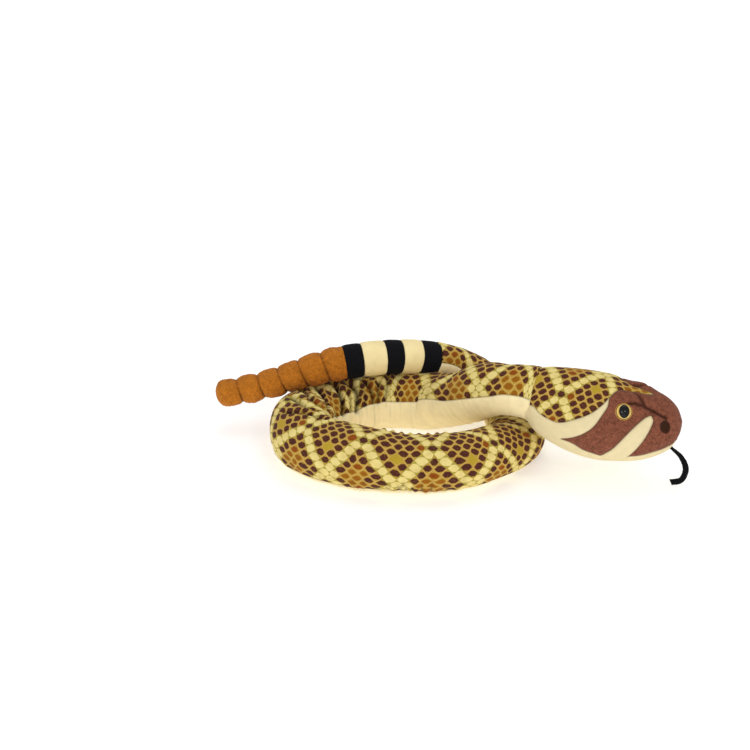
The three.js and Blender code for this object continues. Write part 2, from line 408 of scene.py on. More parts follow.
def dress(
    piece: bpy.types.Object,
    finish: bpy.types.Material,
    nodes: Sequence[str],
) -> None:
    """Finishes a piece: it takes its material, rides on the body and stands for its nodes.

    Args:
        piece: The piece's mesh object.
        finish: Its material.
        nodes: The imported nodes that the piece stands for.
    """
    piece.data.materials.append(finish)
    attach(piece, ROOT_BODY)
    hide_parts(*nodes)
    LOG.info("%s: %d faces, for %s", piece.name, len(piece.data.polygons), ", ".join(nodes))


# Shader arithmetic

Value = Union["Wire", float]


def linear(red: int, green: int, blue: int) -> Colour:
    """A colour seen on a screen, 0 to 255, as the linear light that shaders use."""

    def channel(level: int) -> float:
        """One channel by the screen's standard curve."""
        share = level / 255.0
        return share / 12.92 if share <= 0.04045 else ((share + 0.055) / 1.055) ** 2.4

    return channel(red), channel(green), channel(blue)


@dataclass(frozen=True)
class Wire:
    """A socket that takes part in arithmetic: each operation adds a Math node."""

    graph: "Graph"
    socket: bpy.types.NodeSocket

    def __add__(self, other: Value) -> "Wire":
        """Self plus other."""
        return self.graph.math("ADD", self, other)

    def __radd__(self, other: Value) -> "Wire":
        """Other plus self."""
        return self.graph.math("ADD", other, self)

    def __sub__(self, other: Value) -> "Wire":
        """Self minus other."""
        return self.graph.math("SUBTRACT", self, other)

    def __rsub__(self, other: Value) -> "Wire":
        """Other minus self."""
        return self.graph.math("SUBTRACT", other, self)

    def __mul__(self, other: Value) -> "Wire":
        """Self times other."""
        return self.graph.math("MULTIPLY", self, other)

    def __rmul__(self, other: Value) -> "Wire":
        """Other times self."""
        return self.graph.math("MULTIPLY", other, self)

    def __truediv__(self, other: Value) -> "Wire":
        """Self over other."""
        return self.graph.math("DIVIDE", self, other)

    def __abs__(self) -> "Wire":
        """Self without its sign."""
        return self.graph.math("ABSOLUTE", self)


class Graph:
    """The nodes of one material."""

    def __init__(self, name: str) -> None:
        """Starts an empty material.

        Args:
            name: The material's name.
        """
        self.material = bpy.data.materials.new(name)
        self.material.use_nodes = True
        self.tree = self.material.node_tree
        self.tree.nodes.clear()

    def node(self, kind: str, settings: dict | None = None, sockets: dict | None = None) -> bpy.types.Node:
        """Adds a node, with its settings first and then its sockets.

        Args:
            kind: The node's type.
            settings: Names and values of the node's own settings.
            sockets: Names or numbers of input sockets with a value, or a wire to link.

        Returns:
            The node.
        """
        made = self.tree.nodes.new(kind)
        for name, value in (settings or {}).items():
            setattr(made, name, value)
        for key, value in (sockets or {}).items():
            if isinstance(value, Wire):
                self.tree.links.new(value.socket, made.inputs[key])
            elif isinstance(value, tuple) and made.inputs[key].type == "RGBA":
                made.inputs[key].default_value = (*value, 1.0)
            else:
                made.inputs[key].default_value = value
        return made

    def out(self, node: bpy.types.Node, output: Union[str, int] = 0) -> Wire:
        """A node's output as a wire."""
        return Wire(self, node.outputs[output])

    def math(self, operation: str, *values: Value) -> Wire:
        """A Math node on one to three values."""
        return self.out(self.node("ShaderNodeMath", {"operation": operation}, dict(enumerate(values))))

    def least(self, first: Value, second: Value) -> Wire:
        """The lesser of two values."""
        return self.math("MINIMUM", first, second)

    def most(self, first: Value, second: Value) -> Wire:
        """The greater of two values."""
        return self.math("MAXIMUM", first, second)

    def above(self, value: Value, edge: Value) -> Wire:
        """1 where the value is above the edge, and otherwise 0."""
        return self.math("GREATER_THAN", value, edge)

    def below(self, value: Value, edge: Value) -> Wire:
        """1 where the value is below the edge, and otherwise 0."""
        return self.math("LESS_THAN", value, edge)

    def near(self, value: Value, target: float) -> Wire:
        """1 where the value is within a quarter of the target, and otherwise 0."""
        return self.math("COMPARE", value, target, 0.25)

    def nearest(self, value: Wire, spacing: float) -> Wire:
        """The whole multiple of the spacing that is nearest to the value."""
        return self.math("ROUND", value / spacing) * spacing

    def step(self, value: Value, low: float, high: float) -> Wire:
        """A smooth step of the value, which falls where low is above high.

        Args:
            value: The value.
            low: Where the step is 0.
            high: Where the step is 1.

        Returns:
            The step, from 0 to 1.
        """
        if low > high:
            return 1.0 - self.step(value, high, low)
        sockets = {"Value": value, "From Min": low, "From Max": high}
        return self.out(self.node("ShaderNodeMapRange", {"interpolation_type": "SMOOTHSTEP"}, sockets))

    def pick(self, factor: Value, first: Value, second: Value) -> Wire:
        """The first value at factor 0 and the second at factor 1."""
        return self.out(self.node("ShaderNodeMix", {"data_type": "FLOAT"}, {0: factor, 2: first, 3: second}))

    def blend(self, factor: Value, first: Union[Wire, Colour], second: Union[Wire, Colour]) -> Wire:
        """The first colour at factor 0 and the second at factor 1."""
        node = self.node("ShaderNodeMix", {"data_type": "RGBA"}, {0: factor, 6: first, 7: second})
        return self.out(node, 2)

    def shaded(self, colour: Union[Wire, Colour], level: Value) -> Wire:
        """A colour multiplied by a level."""
        scaled = self.node("ShaderNodeVectorMath", {"operation": "SCALE"}, {0: colour, "Scale": level})
        return self.out(scaled)

    def mark(self, name: str) -> Wire:
        """A named number that the mesh carries."""
        return self.out(self.node("ShaderNodeAttribute", {"attribute_name": name}), "Fac")

    def chart(self) -> tuple[Wire, Wire]:
        """The two coordinates of the mesh's chart."""
        chart = self.out(self.node("ShaderNodeUVMap", {"uv_map": CHART}))
        split = self.node("ShaderNodeSeparateXYZ", None, {0: chart})
        return self.out(split, 0), self.out(split, 1)

    def place(self) -> Wire:
        """Object coordinates."""
        return self.out(self.node("ShaderNodeTexCoord"), "Object")

    def noise(self, scale: float, detail: float = 2.0, rough: float = 0.5) -> Wire:
        """Noise from 0 to 1 with features of about 1 / scale metres."""
        sockets = {"Vector": self.place(), "Scale": scale, "Detail": detail, "Roughness": rough}
        return self.out(self.node("ShaderNodeTexNoise", None, sockets))

    def bumped(self, height: Value, distance: float, under: Wire | None = None) -> Wire:
        """A normal bent by a height.

        Args:
            height: The height, from 0 to 1.
            distance: What a height of 1 stands for, in metres.
            under: A normal that is already bent.

        Returns:
            The normal.
        """
        sockets = {"Strength": 1.0, "Distance": distance, "Height": height}
        if under is not None:
            sockets["Normal"] = under
        return self.out(self.node("ShaderNodeBump", None, sockets))

    def finish(self, sockets: dict) -> bpy.types.Material:
        """Ends the material in one Principled shader.

        Args:
            sockets: The shader's sockets with their values or wires.

        Returns:
            The material.
        """
        shader = self.node("ShaderNodeBsdfPrincipled", None, sockets)
        output = self.node("ShaderNodeOutputMaterial")
        self.tree.links.new(shader.outputs[0], output.inputs["Surface"])
        return self.material

    def finish_fabric(self, colour: Wire, normal: Wire, sheen: float) -> bpy.types.Material:
        """Ends the material as a matt fabric with a soft sheen.

        Args:
            colour: The fabric's colour.
            normal: Its normal.
            sheen: The weight of its sheen.

        Returns:
            The material.
        """
        return self.finish(
            {
                "Base Color": colour,
                "Roughness": 0.95,
                "Specular IOR Level": 0.06,
                "Sheen Weight": sheen,
                "Sheen Roughness": 0.5,
                "Normal": normal,
            }
        )


# Fabrics


@dataclass(frozen=True)
class Pile:
    """The nap of a plush fabric: how coarse and deep it is, and how far it changes the colour."""

    grain: float = 1500.0
    depth: float = 0.35 * MM
    brushing: float = 90.0
    mottle: float = 0.10
    brush: float = 0.10

    def level(self, graph: Graph) -> Wire:
        """How light the nap is, about 1: the mottle's fine noise and the brushing's broad one are added to 1.

        Args:
            graph: The material's nodes.

        Returns:
            The level.
        """
        fine = graph.noise(self.grain, 3.0) - 0.5
        broad = graph.noise(self.brushing) - 0.5
        return 1.0 + fine * (2 * self.mottle) + broad * (2 * self.brush)

    def height(self, graph: Graph) -> Wire:
        """How high the nap stands, from 0 to 1."""
        return graph.noise(self.grain, 4.0, rough=0.65)


@dataclass(frozen=True)
class PlainPlush:
    """A plush of one colour."""

    name: str
    colour: Colour
    pile: Pile
    sheen: float = 0.06
    fold_shade: float = 0.45

    def material(self) -> bpy.types.Material:
        """Makes the finish: its colour mottled by the nap and darkened in folds by painted shade, with the nap
        as bump.

        Returns:
            The material.
        """
        graph = Graph(self.name)
        normal = graph.bumped(self.pile.height(graph), self.pile.depth)
        # painted shade: darker where the mesh's fold mark is high
        level = self.pile.level(graph) * (1.0 - graph.mark("fold") * self.fold_shade)
        return graph.finish_fabric(graph.shaded(self.colour, level), normal, self.sheen)


@dataclass(frozen=True)
class Hexagon:
    """A flat-topped hexagon with its points to the left and right, by half its width, height and top side."""

    width: float
    height: float
    top: float
    rounding: float = 0.22

    def far(self, graph: Graph, off_x: Wire, off_y: Wire) -> Wire:
        """How far out a point lies: 0 at the middle and 1 on the rim.

        It is the greater of two shares, with the corner rounded. Towards the slanted side it is x over the
        width, plus y over the height times (1 - top / width). Towards the top it is y over the height.

        Args:
            graph: The material's nodes.
            off_x: Distance from the middle along the row, in metres.
            off_y: Distance from the middle across the rows, in metres.

        Returns:
            The share.
        """
        side = off_x * (1 / self.width) + off_y * ((1 - self.top / self.width) / self.height)
        return graph.math("SMOOTH_MAX", side, off_y * (1 / self.height), self.rounding)


@dataclass(frozen=True)
class ScalePrint:
    """The printed scales: a staggered lattice of cells, with dark diamonds along the back in a pale net.

    Rows run along the snake. A cell's count is taken from the nearest diamond's middle, above 0 towards the
    tail, and its row from the back's midline. Rows are mirrored about the sixth. A cell's level is the size of
    its count, plus half of its row, less `reach`. It is pale at level 0, dark inside and next to that, and ochre
    from two outside it on. The pairs of numbers are where an edge's smooth step is 0 and where it is 1.
    """

    column: float = 13.8 * MM
    row: float = 8.2 * MM
    period: float = 6.0
    reach: float = 3.0
    mirror_row: float = 6.0
    wobble: float = 65.0
    wander: float = 0.42
    ochre_margin: float = 0.10
    blob: Hexagon = Hexagon(5.6 * MM, 3.8 * MM, 2.4 * MM)
    pale_cell: Hexagon = Hexagon(6.8 * MM, 4.75 * MM, 2.6 * MM)
    leaf_edge: tuple[float, float] = (0.70, 0.50)
    line_edge: tuple[float, float] = (0.915, 0.985)
    ink_edge: tuple[float, float] = (1.12, 0.90)
    pale_edge: tuple[float, float] = (1.08, 0.92)
    cell_edge: tuple[float, float] = (1.0, 0.92)
    dark: Colour = linear(80, 40, 34)
    pale: Colour = linear(238, 218, 140)
    leaf: Colour = linear(174, 156, 68)
    line: Colour = linear(220, 182, 112)
    gold: Colour = linear(182, 145, 56)
    ochre: Colour = linear(150, 92, 22)
    rust: Colour = linear(142, 72, 20)
    olive: Colour = linear(184, 154, 50)

    def colour(self, graph: Graph, along: Wire, across: Wire) -> Wire:
        """The print's colour at a place on the fabric.

        Args:
            graph: The material's nodes.
            along: Fabric length from the print's start, in metres.
            across: Distance from the back's midline, in metres.

        Returns:
            The colour.
        """
        sockets = {"Vector": graph.place(), "Scale": self.wobble, "Detail": 0.0}
        wobble = graph.node("ShaderNodeTexNoise", None, sockets)
        drift = graph.node("ShaderNodeSeparateColor", None, {"Color": graph.out(wobble, "Color")})
        x = along / self.column + (graph.out(drift, 0) - 0.5) * self.wander
        y = abs(across / self.row + (graph.out(drift, 1) - 0.5) * self.wander)
        y = abs(self.mirror_row - abs(self.mirror_row - y))

        # the nearest cell of the even rows and of the odd rows
        even_x, even_y = graph.math("ROUND", x), graph.nearest(y, 2.0)
        odd_x, odd_y = graph.math("FLOOR", x) + 0.5, graph.math("FLOOR", y / 2.0) * 2.0 + 1.0
        even_far = self._far(graph, x - even_x, y - even_y)
        odd_far = self._far(graph, x - odd_x, y - odd_y)
        odd = graph.below(odd_far, even_far)
        cell_x = graph.pick(odd, even_x, odd_x)
        cell_y = graph.pick(odd, even_y, odd_y)
        edge = graph.least(odd_far, even_far)
        off_x = abs(x - cell_x) * self.column
        off_y = abs(y - cell_y) * self.row

        # the cell's kind
        count = cell_x - graph.nearest(cell_x, self.period)
        top_row, last_row = graph.near(cell_y, 0.0), graph.near(cell_y, self.mirror_row)
        half_way = graph.near(abs(count), self.period / 2)
        level = abs(count) + cell_y * 0.5 - self.reach + top_row * half_way
        level = level - last_row * (graph.near(count, 1.0) + graph.near(count, -2.0))
        is_pale = graph.near(level, 0.0)
        is_ochre = graph.above(level, 1.5)
        is_rust = graph.most(top_row * graph.near(count, 2.0), graph.near(cell_y, 4.0) * half_way)
        is_olive = graph.near(cell_y, 2.0) * graph.near(count, 0.0) * graph.below(across, 0.0)

        # the net between the cells, then what fills them
        to_pale = abs(abs(x - graph.nearest(x, self.period)) + y * 0.5 - self.reach)
        near_pale = graph.step(to_pale, *self.leaf_edge)
        thread = graph.step(edge, *self.line_edge) * (1.0 - 0.8 * near_pale)
        net = graph.blend(thread, graph.blend(near_pale, self.gold, self.leaf), self.line)
        patchy = graph.step(graph.noise(500.0), 0.45, 0.95) * 0.28
        faded = graph.step(graph.noise(120.0), 0.35, 0.75) * 0.25
        ink = graph.blend(is_rust, graph.blend(is_ochre, self.dark, self.ochre), self.rust)
        ink = graph.blend(patchy, ink, self.gold)
        spread = self.blob.far(graph, off_x, off_y) + is_ochre * self.ochre_margin
        printed = graph.blend(graph.step(spread, *self.ink_edge), net, ink)
        printed = graph.blend(is_olive, printed, self.olive)
        inside = graph.step(self.pale_cell.far(graph, off_x, off_y), *self.pale_edge)
        inside = inside * graph.step(edge, *self.cell_edge)
        pale = graph.blend(inside, self.leaf, graph.blend(faded, self.pale, self.gold))
        return graph.blend(is_pale, printed, pale)

    def _far(self, graph: Graph, off_x: Wire, off_y: Wire) -> Wire:
        """How far a point is towards its cell's edge: 0 at the middle and 1 half way to the next cell.

        It is the greater of the share towards the next cell in the row and the share towards the next row's.

        Args:
            graph: The material's nodes.
            off_x: Distance from the cell's middle, in columns.
            off_y: Distance from the cell's middle, in rows.

        Returns:
            The share.
        """
        step_x, step_y = self.column / 2, self.row
        square = (step_x**2 + step_y**2) / 2
        slanted = abs(off_x) * (self.column * step_x / square) + abs(off_y) * (self.row * step_y / square)
        return graph.most(abs(off_x) * 2.0, slanted)


@dataclass(frozen=True)
class SewnPlush:
    """The skin's fabrics in one finish: print, brown and cream panels that meet at sewn seams.

    The mesh carries the depth inside each panel, in metres, below 0 outside it, and how much painted shade its
    folds get.
    """

    name: str
    scales: ScalePrint
    has_brown: bool = False
    brown: Colour = linear(128, 76, 57)
    nostril: Colour = linear(58, 34, 22)
    cream: Colour = linear(252, 234, 184)
    pile: Pile = Pile(mottle=0.14)
    brown_pile: Pile = Pile(grain=520.0, depth=0.9 * MM, mottle=0.80, brushing=190.0, brush=0.50)
    panel_edge: tuple[float, float] = (-0.35 * MM, 0.35 * MM)
    nostril_edge: tuple[float, float] = (-0.9 * MM, 0.7 * MM)
    groove_width: float = 1.3 * MM
    groove_depth: float = 0.9 * MM
    seam_shade: float = 0.28
    fold_shade: float = 0.88

    def material(self) -> bpy.types.Material:
        """Makes the finish: panels by their depth marks, painted shade in the seams' grooves and the folds, with
        seams and nap as bump.

        Returns:
            The material.
        """
        graph = Graph(self.name)
        print_depth = graph.mark("print_depth")
        scales = graph.shaded(self.scales.colour(graph, *graph.chart()), self.pile.level(graph))
        cream = graph.shaded(self.cream, self.pile.level(graph))
        colour = graph.blend(graph.step(print_depth, *self.panel_edge), cream, scales)
        height = self.pile.height(graph)
        seam = abs(print_depth)
        if self.has_brown:
            brown_depth = graph.mark("brown_depth")
            is_brown = graph.step(brown_depth, *self.panel_edge)
            in_nostril = graph.step(graph.mark("nostril_depth"), *self.nostril_edge)
            brown = graph.shaded(self.brown, self.brown_pile.level(graph))
            colour = graph.blend(is_brown, colour, graph.blend(in_nostril, brown, self.nostril))
            height = graph.pick(is_brown, height, self.brown_pile.height(graph) * 2.0)
            seam = graph.least(seam, abs(brown_depth))
        groove = graph.step(seam, 0.0, self.groove_width)
        # painted shade: darker in the seams' grooves, and darker still where the fold mark is high
        shade = (1.0 - self.seam_shade) + groove * self.seam_shade
        colour = graph.shaded(colour, shade * (1.0 - graph.mark("fold") * self.fold_shade))
        nap = graph.bumped(height, self.pile.depth)
        return graph.finish_fabric(colour, graph.bumped(groove, self.groove_depth, under=nap), 0.06)


@dataclass(frozen=True)
class EyePlastic:
    """A moulded eye: a black slit pupil on a gold iris, in a clear amber rim, under a glossy dome."""

    name: str = "eye_plastic"
    pupil: Colour = linear(6, 6, 8)
    iris_inner: Colour = linear(172, 122, 36)
    iris_outer: Colour = linear(238, 206, 118)
    rim: Colour = linear(112, 62, 14)
    rim_light: Colour = linear(214, 170, 84)
    slit: tuple[float, float] = (0.60, 0.80)

    def material(self) -> bpy.types.Material:
        """Makes the finish from the distance to the middle of the chart, which is -1 to 1 across the eye.

        Returns:
            The material.
        """
        graph = Graph(self.name)
        x, y = graph.chart()
        wide, tall = self.slit
        far = graph.math("SQRT", x * x + y * y)
        slit = graph.math("SQRT", (x * x) * (1 / wide**2) + (y * y) * (1 / tall**2))
        iris = graph.blend(graph.step(far, 0.55, 0.80), self.iris_inner, self.iris_outer)
        iris = graph.shaded(iris, 0.85 + graph.noise(900.0) * 0.3)
        rim = graph.blend(graph.step(far, 0.90, 0.99), self.rim, self.rim_light)
        colour = graph.blend(graph.step(far, 0.84, 0.88), iris, rim)
        colour = graph.blend(graph.step(slit, 1.03, 0.97), colour, self.pupil)
        return graph.finish(
            {
                "Base Color": colour,
                "Roughness": 0.4,
                "Coat Weight": 0.55,
                "Coat Roughness": 0.02,
                "Specular IOR Level": 0.0,
            }
        )


# The stuffed tube


@dataclass
class MiddleLine:
    """The line through the middle of the stuffed tube, from the head joint to the rattle's tip.

    The points are listed: x, y, z in millimetres of the layout, and the share by which the stuffing is
    squashed flat there.
    """

    points: tuple[tuple[float, float, float, float], ...] = (
        # over the coil, then down and back to the far side
        (97, 62, 87, 0.04), (74, 69, 89, 0.05), (46, 87, 81, 0.06), (16, 112, 57.5, 0.1),
        (-20, 146, 32.5, 0.16), (-60, 154, 30, 0.16), (-100, 147, 30, 0.16), (-138, 133, 27, 0.25),
        # the left turn
        (-164, 111, 28, 0.24), (-172, 80, 33.5, 0.06), (-166, 46, 33.5, 0.06), (-145, 22, 33.5, 0.06),
        # the front run
        (-109, 6, 33.5, 0.06), (-54, -6, 33, 0.06), (-10, -3, 32.4, 0.06), (20, 8, 31.5, 0.08),
        # the right turn, pressed flat under the neck
        (53, 36, 29, 0.13), (75, 68, 24.8, 0.22), (77, 100, 23.4, 0.22), (70, 134, 24.5, 0.18),
        # up behind the middle run and onto it
        (54, 168, 33, 0), (36, 191, 46.5, 0), (10, 194, 60, 0), (-26, 179, 76, 0),
        # the banded tail
        (-66, 165, 83.6, 0), (-125, 149, 82.8, 0),
        # the rattle, drooping past the left turn
        (-165, 142, 74.3, 0), (-219, 138, 56, 0), (-279, 132, 44.5, 0),
    )
    steps: int = 200

    def __post_init__(self) -> None:
        """Samples the curve, and the length and direction along it."""
        table = np.array(self.points, float)
        self.squash_stations = list(enumerate(table[:, 3]))
        self.line = spline_points(table[:, :3] * MM - LAYOUT_ORIGIN, self.steps)
        self.place = np.linspace(0.0, len(table) - 1.0, len(self.line))
        self.arc = length_along(self.line)
        self.length = float(self.arc[-1])
        self.direction = unit(np.gradient(self.line, self.arc, axis=0))

    def frames(self, length: np.ndarray) -> tuple[np.ndarray, np.ndarray, np.ndarray, np.ndarray]:
        """The middle, direction, level side and over-side at each length.

        The side is the direction crossed with up, which is the outside of the loop, and the over-side is the
        side crossed with the direction. Past an end the line goes straight on.

        Args:
            length: Lengths along the line, in metres.

        Returns:
            Four arrays of vectors.
        """
        inside = np.clip(length, 0.0, self.length)
        along = unit(rows_at(inside, self.arc, self.direction))
        middle = rows_at(inside, self.arc, self.line) + along * (length - inside)[..., None]
        side = unit(np.cross(along, UP))
        return middle, along, side, np.cross(side, along)

    def squash(self, length: np.ndarray) -> np.ndarray:
        """The squashed share at each length, eased between the points."""
        return through_stations(np.interp(length, self.arc, self.place), self.squash_stations)

    def bend(self, length: np.ndarray) -> np.ndarray:
        """How sharply the line turns on plan: the rate of its heading, averaged under a bell.

        Args:
            length: Lengths along the line, in metres.

        Returns:
            Radians for each metre.
        """
        step, reach = 2 * MM, 14 * MM
        even = np.arange(0.0, self.length, step)
        along = rows_at(even, self.arc, self.direction)
        heading = np.unwrap(np.arctan2(along[:, 1], along[:, 0]))
        turn = np.abs(np.gradient(heading, even))
        window = bump_at(np.arange(-3 * reach, 3 * reach + step / 2, step), 0.0, reach)
        smooth = np.convolve(np.pad(turn, len(window) // 2, mode="edge"), window / window.sum(), "valid")
        return np.interp(length, even, smooth[: len(even)])


@dataclass
class TubeSizes:
    """Sizes of the stuffed tube, counted from the head joint towards the tail.

    The cloth is piled up in the middle run and the left turn, so the tube is fullest there. The girth stations
    are pairs of length and radius, in millimetres.
    """

    tail_radius: float = 20.8 * MM
    girths: Pairs = (
        (0, 29), (90, 35), (160, 36), (330, 36), (400, 37.5), (460, 37.5), (530, 34.5), (610, 33.5),
        (880, 20.8),
    )
    nape_rise: float = 8 * MM
    nape_reach: float = 40 * MM
    band_lengths: tuple[float, ...] = (21.5 * MM, 23 * MM, 20.5 * MM, 27.5 * MM, 21 * MM)
    lobe_lengths: tuple[float, ...] = (23.3 * MM, 27.2 * MM, 26.3 * MM, 27 * MM, 26.3 * MM, 28.9 * MM)

    def body_length(self, line: MiddleLine) -> float:
        """The printed body's length, from the head joint to the first band."""
        return line.length - sum(self.lobe_lengths) - sum(self.band_lengths)

    def girth(self, length: np.ndarray) -> np.ndarray:
        """The tube's radius at each length, eased between the girth stations."""
        return through_stations(length / MM, self.girths) * MM

    def nape(self, length: np.ndarray) -> np.ndarray:
        """How much fuller the tube's top is at each length: it evens out behind the head."""
        return self.nape_rise * (1.0 - eased(length, 0.0, self.nape_reach))


def tube_points(
    line: MiddleLine,
    length: np.ndarray,
    radius: np.ndarray,
    turn: np.ndarray,
    squash: Bound = 0.0,
    nape: Bound = 0.0,
) -> np.ndarray:
    """Points of the tube: ovals across the middle line, kept off the floor.

    A point is the middle, plus side times radius times (1 + squash / 2) times the turn's cosine, plus over-side
    times radius times (1 - squash) times its sine. On the upper half the nape times the sine squared is added,
    and no point is lower than the floor.

    Args:
        line: The middle line.
        length: The length at each ring.
        radius: Radii, rings by sides.
        turn: Turns from the side towards the top, rings by sides or one for each side.
        squash: The squashed share at each ring.
        nape: How much fuller the top is at each ring.

    Returns:
        Rings by sides by x, y, z.
    """
    middle, _, side, over = line.frames(length)
    squash, nape = (np.broadcast_to(value, length.shape)[:, None] for value in (squash, nape))
    wide = radius * (1 + squash / 2) * np.cos(turn)
    tall = radius * (1 - squash) * np.sin(turn) + nape * np.maximum(np.sin(turn), 0.0) ** 2
    points = middle[:, None] + side[:, None] * wide[..., None] + over[:, None] * tall[..., None]
    points[..., 2] = np.maximum(points[..., 2], 0.0)
    return points


@dataclass
class Stuffing:
    """Cloth that is cut longer than its middle line and blown up from inside, so that it folds as plush does."""

    pressure: float = 3.0
    frames: int = 16
    quality: int = 5
    mass: float = 0.15
    stiffness: float = 12.0
    shear_stiffness: float = 4.0
    bending_stiffness: float = 0.25
    hold: float = 0.55
    farthest: float = 6.0 * MM

    def settle(self, start: np.ndarray, cut: np.ndarray, hold: np.ndarray) -> np.ndarray:
        """Lets a closed tube of cloth find its folds.

        The springs take their lengths from the cut shape, a straight tube, while the cloth starts in the coiled
        one and is held softly to it. Gravity is off. No point ends farther from its start than the cap.

        Args:
            start: The coiled tube, rings by sides by x, y, z.
            cut: The straight tube in the same order.
            hold: How firmly each vertex is held, from 0 to 1.

        Returns:
            The settled tube in the shape of start.
        """
        cloth = Skin(start).to_object("cloth_trial")
        mesh = cloth.data
        cloth.shape_key_add(name="Basis")
        rest = cloth.shape_key_add(name="Cut")
        rest.data.foreach_set("co", Skin(cut).vertices().ravel())
        group = cloth.vertex_groups.new(name="held")
        levels = np.concatenate([hold.ravel(), [1.0, 1.0]]).round(2)
        for level in np.unique(levels):
            group.add(np.flatnonzero(levels == level).tolist(), float(level), "REPLACE")
        settings = cloth.modifiers.new("cloth", "CLOTH").settings
        settings.quality = self.quality
        settings.mass = self.mass
        settings.tension_stiffness = self.stiffness
        settings.compression_stiffness = self.stiffness
        settings.shear_stiffness = self.shear_stiffness
        settings.bending_stiffness = self.bending_stiffness
        settings.use_pressure = True
        settings.uniform_pressure_force = self.pressure
        settings.effector_weights.gravity = 0.0
        settings.vertex_group_mass = "held"
        settings.pin_stiffness = self.hold
        settings.rest_shape_key = rest
        scene = bpy.context.scene
        for frame in range(1, self.frames + 1):
            scene.frame_set(frame)
        evaluated = cloth.evaluated_get(bpy.context.evaluated_depsgraph_get())
        settled = np.empty(len(mesh.vertices) * 3)
        evaluated.data.vertices.foreach_get("co", settled)
        scene.frame_set(1)
        bpy.data.objects.remove(cloth)
        bpy.data.meshes.remove(mesh)
        poles = 2
        move = settled.reshape(-1, 3)[:-poles].reshape(start.shape) - start
        far = np.linalg.norm(move, axis=-1, keepdims=True)
        LOG.info("cloth: moved %.1f mm at most, %.1f mm on average", far.max() / MM, far.mean() / MM)
        return start + move * np.minimum(1.0, self.farthest / np.maximum(far, 1e-9))


@dataclass(frozen=True)
class Fold:
    """A crease over the tube, with the cloth puffed up on both sides of it.

    The route's points are lengths along the middle line, in millimetres, and angles from the top towards the
    outside of the loop, in degrees. The ridges beside it are a share of its depth high, and lie and reach
    shares of its width away.
    """

    route: Pairs
    depth: float = 3.4 * MM
    width: float = 2.4 * MM
    ridge_rise: float = 0.4
    ridge_away: float = 2.6
    ridge_reach: float = 1.5
    darkest_depth: float = 4 * MM

    def away(self, length: np.ndarray, from_top: np.ndarray, radius: float) -> np.ndarray:
        """The distance of each vertex from the crease over the tube's surface.

        Args:
            length: Each vertex's length along the middle line.
            from_top: Each vertex's angle from the top, in radians.
            radius: The tube's radius.

        Returns:
            The distance of each vertex.
        """
        lengths, angles = np.array(self.route, float).T
        crease = np.stack([lengths * MM, np.radians(angles) * radius], -1)
        return distance_to_line(length, from_top * radius, spline_points(crease))

    def rise(self, away: np.ndarray) -> np.ndarray:
        """The skin's rise: a bell-shaped valley with a lower, wider ridge at each side."""
        ridge = bump_at(away, self.ridge_away * self.width, self.ridge_reach * self.width)
        return self.depth * (self.ridge_rise * ridge - bump_at(away, 0.0, self.width))

    def shade(self, away: np.ndarray) -> np.ndarray:
        """How much painted shade the crease gets, from 0 to 1: a narrow bell and a fainter broad one, less if it
        is shallow.
        """
        narrow, broad = bump_at(away, 0.0, 0.75 * self.width), bump_at(away, 0.0, 2.2 * self.width)
        return (0.8 * narrow + 0.2 * broad) * min(self.depth / self.darkest_depth, 1.0)


@dataclass(frozen=True)
class Swell:
    """A place where the stuffing pushes the cloth out: length and angle as in a fold, reach in both, rise."""

    length: float
    angle: float
    reach: tuple[float, float]
    rise: float

    def at(self, length: np.ndarray, from_top: np.ndarray) -> np.ndarray:
        """The rise at each vertex: a bell in length times a bell in angle."""
        near = bump_at(length, self.length * MM, self.reach[0] * MM)
        return self.rise * near * bump_at(np.degrees(from_top), self.angle, self.reach[1])


@dataclass(frozen=True)
class Pleats:
    """A row of short ridges across the tube where the cloth is gathered.

    It has a first and a last length, a spacing, the angle of the ridges' middles and their reach in angle, in a
    fold's units, and a rise. A ridge's reach along the tube and the row's easing out are shares of the spacing.
    """

    first: float
    last: float
    spacing: float
    angle: float
    reach: float
    rise: float
    ridge_reach: float = 0.24
    ease: float = 0.6

    def at(self, length: np.ndarray, from_top: np.ndarray) -> np.ndarray:
        """The rise at each vertex: a bell for each ridge, times a bell in angle, easing out at both ends.

        Args:
            length: Each vertex's length along the middle line.
            from_top: Each vertex's angle from the top, in radians.

        Returns:
            The rise.
        """
        place = (length / MM - self.first) / self.spacing
        count = (self.last - self.first) / self.spacing
        ridge = bump_at(place - np.round(place), 0.0, self.ridge_reach)
        inside = eased(place, -self.ease, 0.0) * (1.0 - eased(place, count, count + self.ease))
        return self.rise * ridge * inside * bump_at(np.degrees(from_top), self.angle, self.reach)


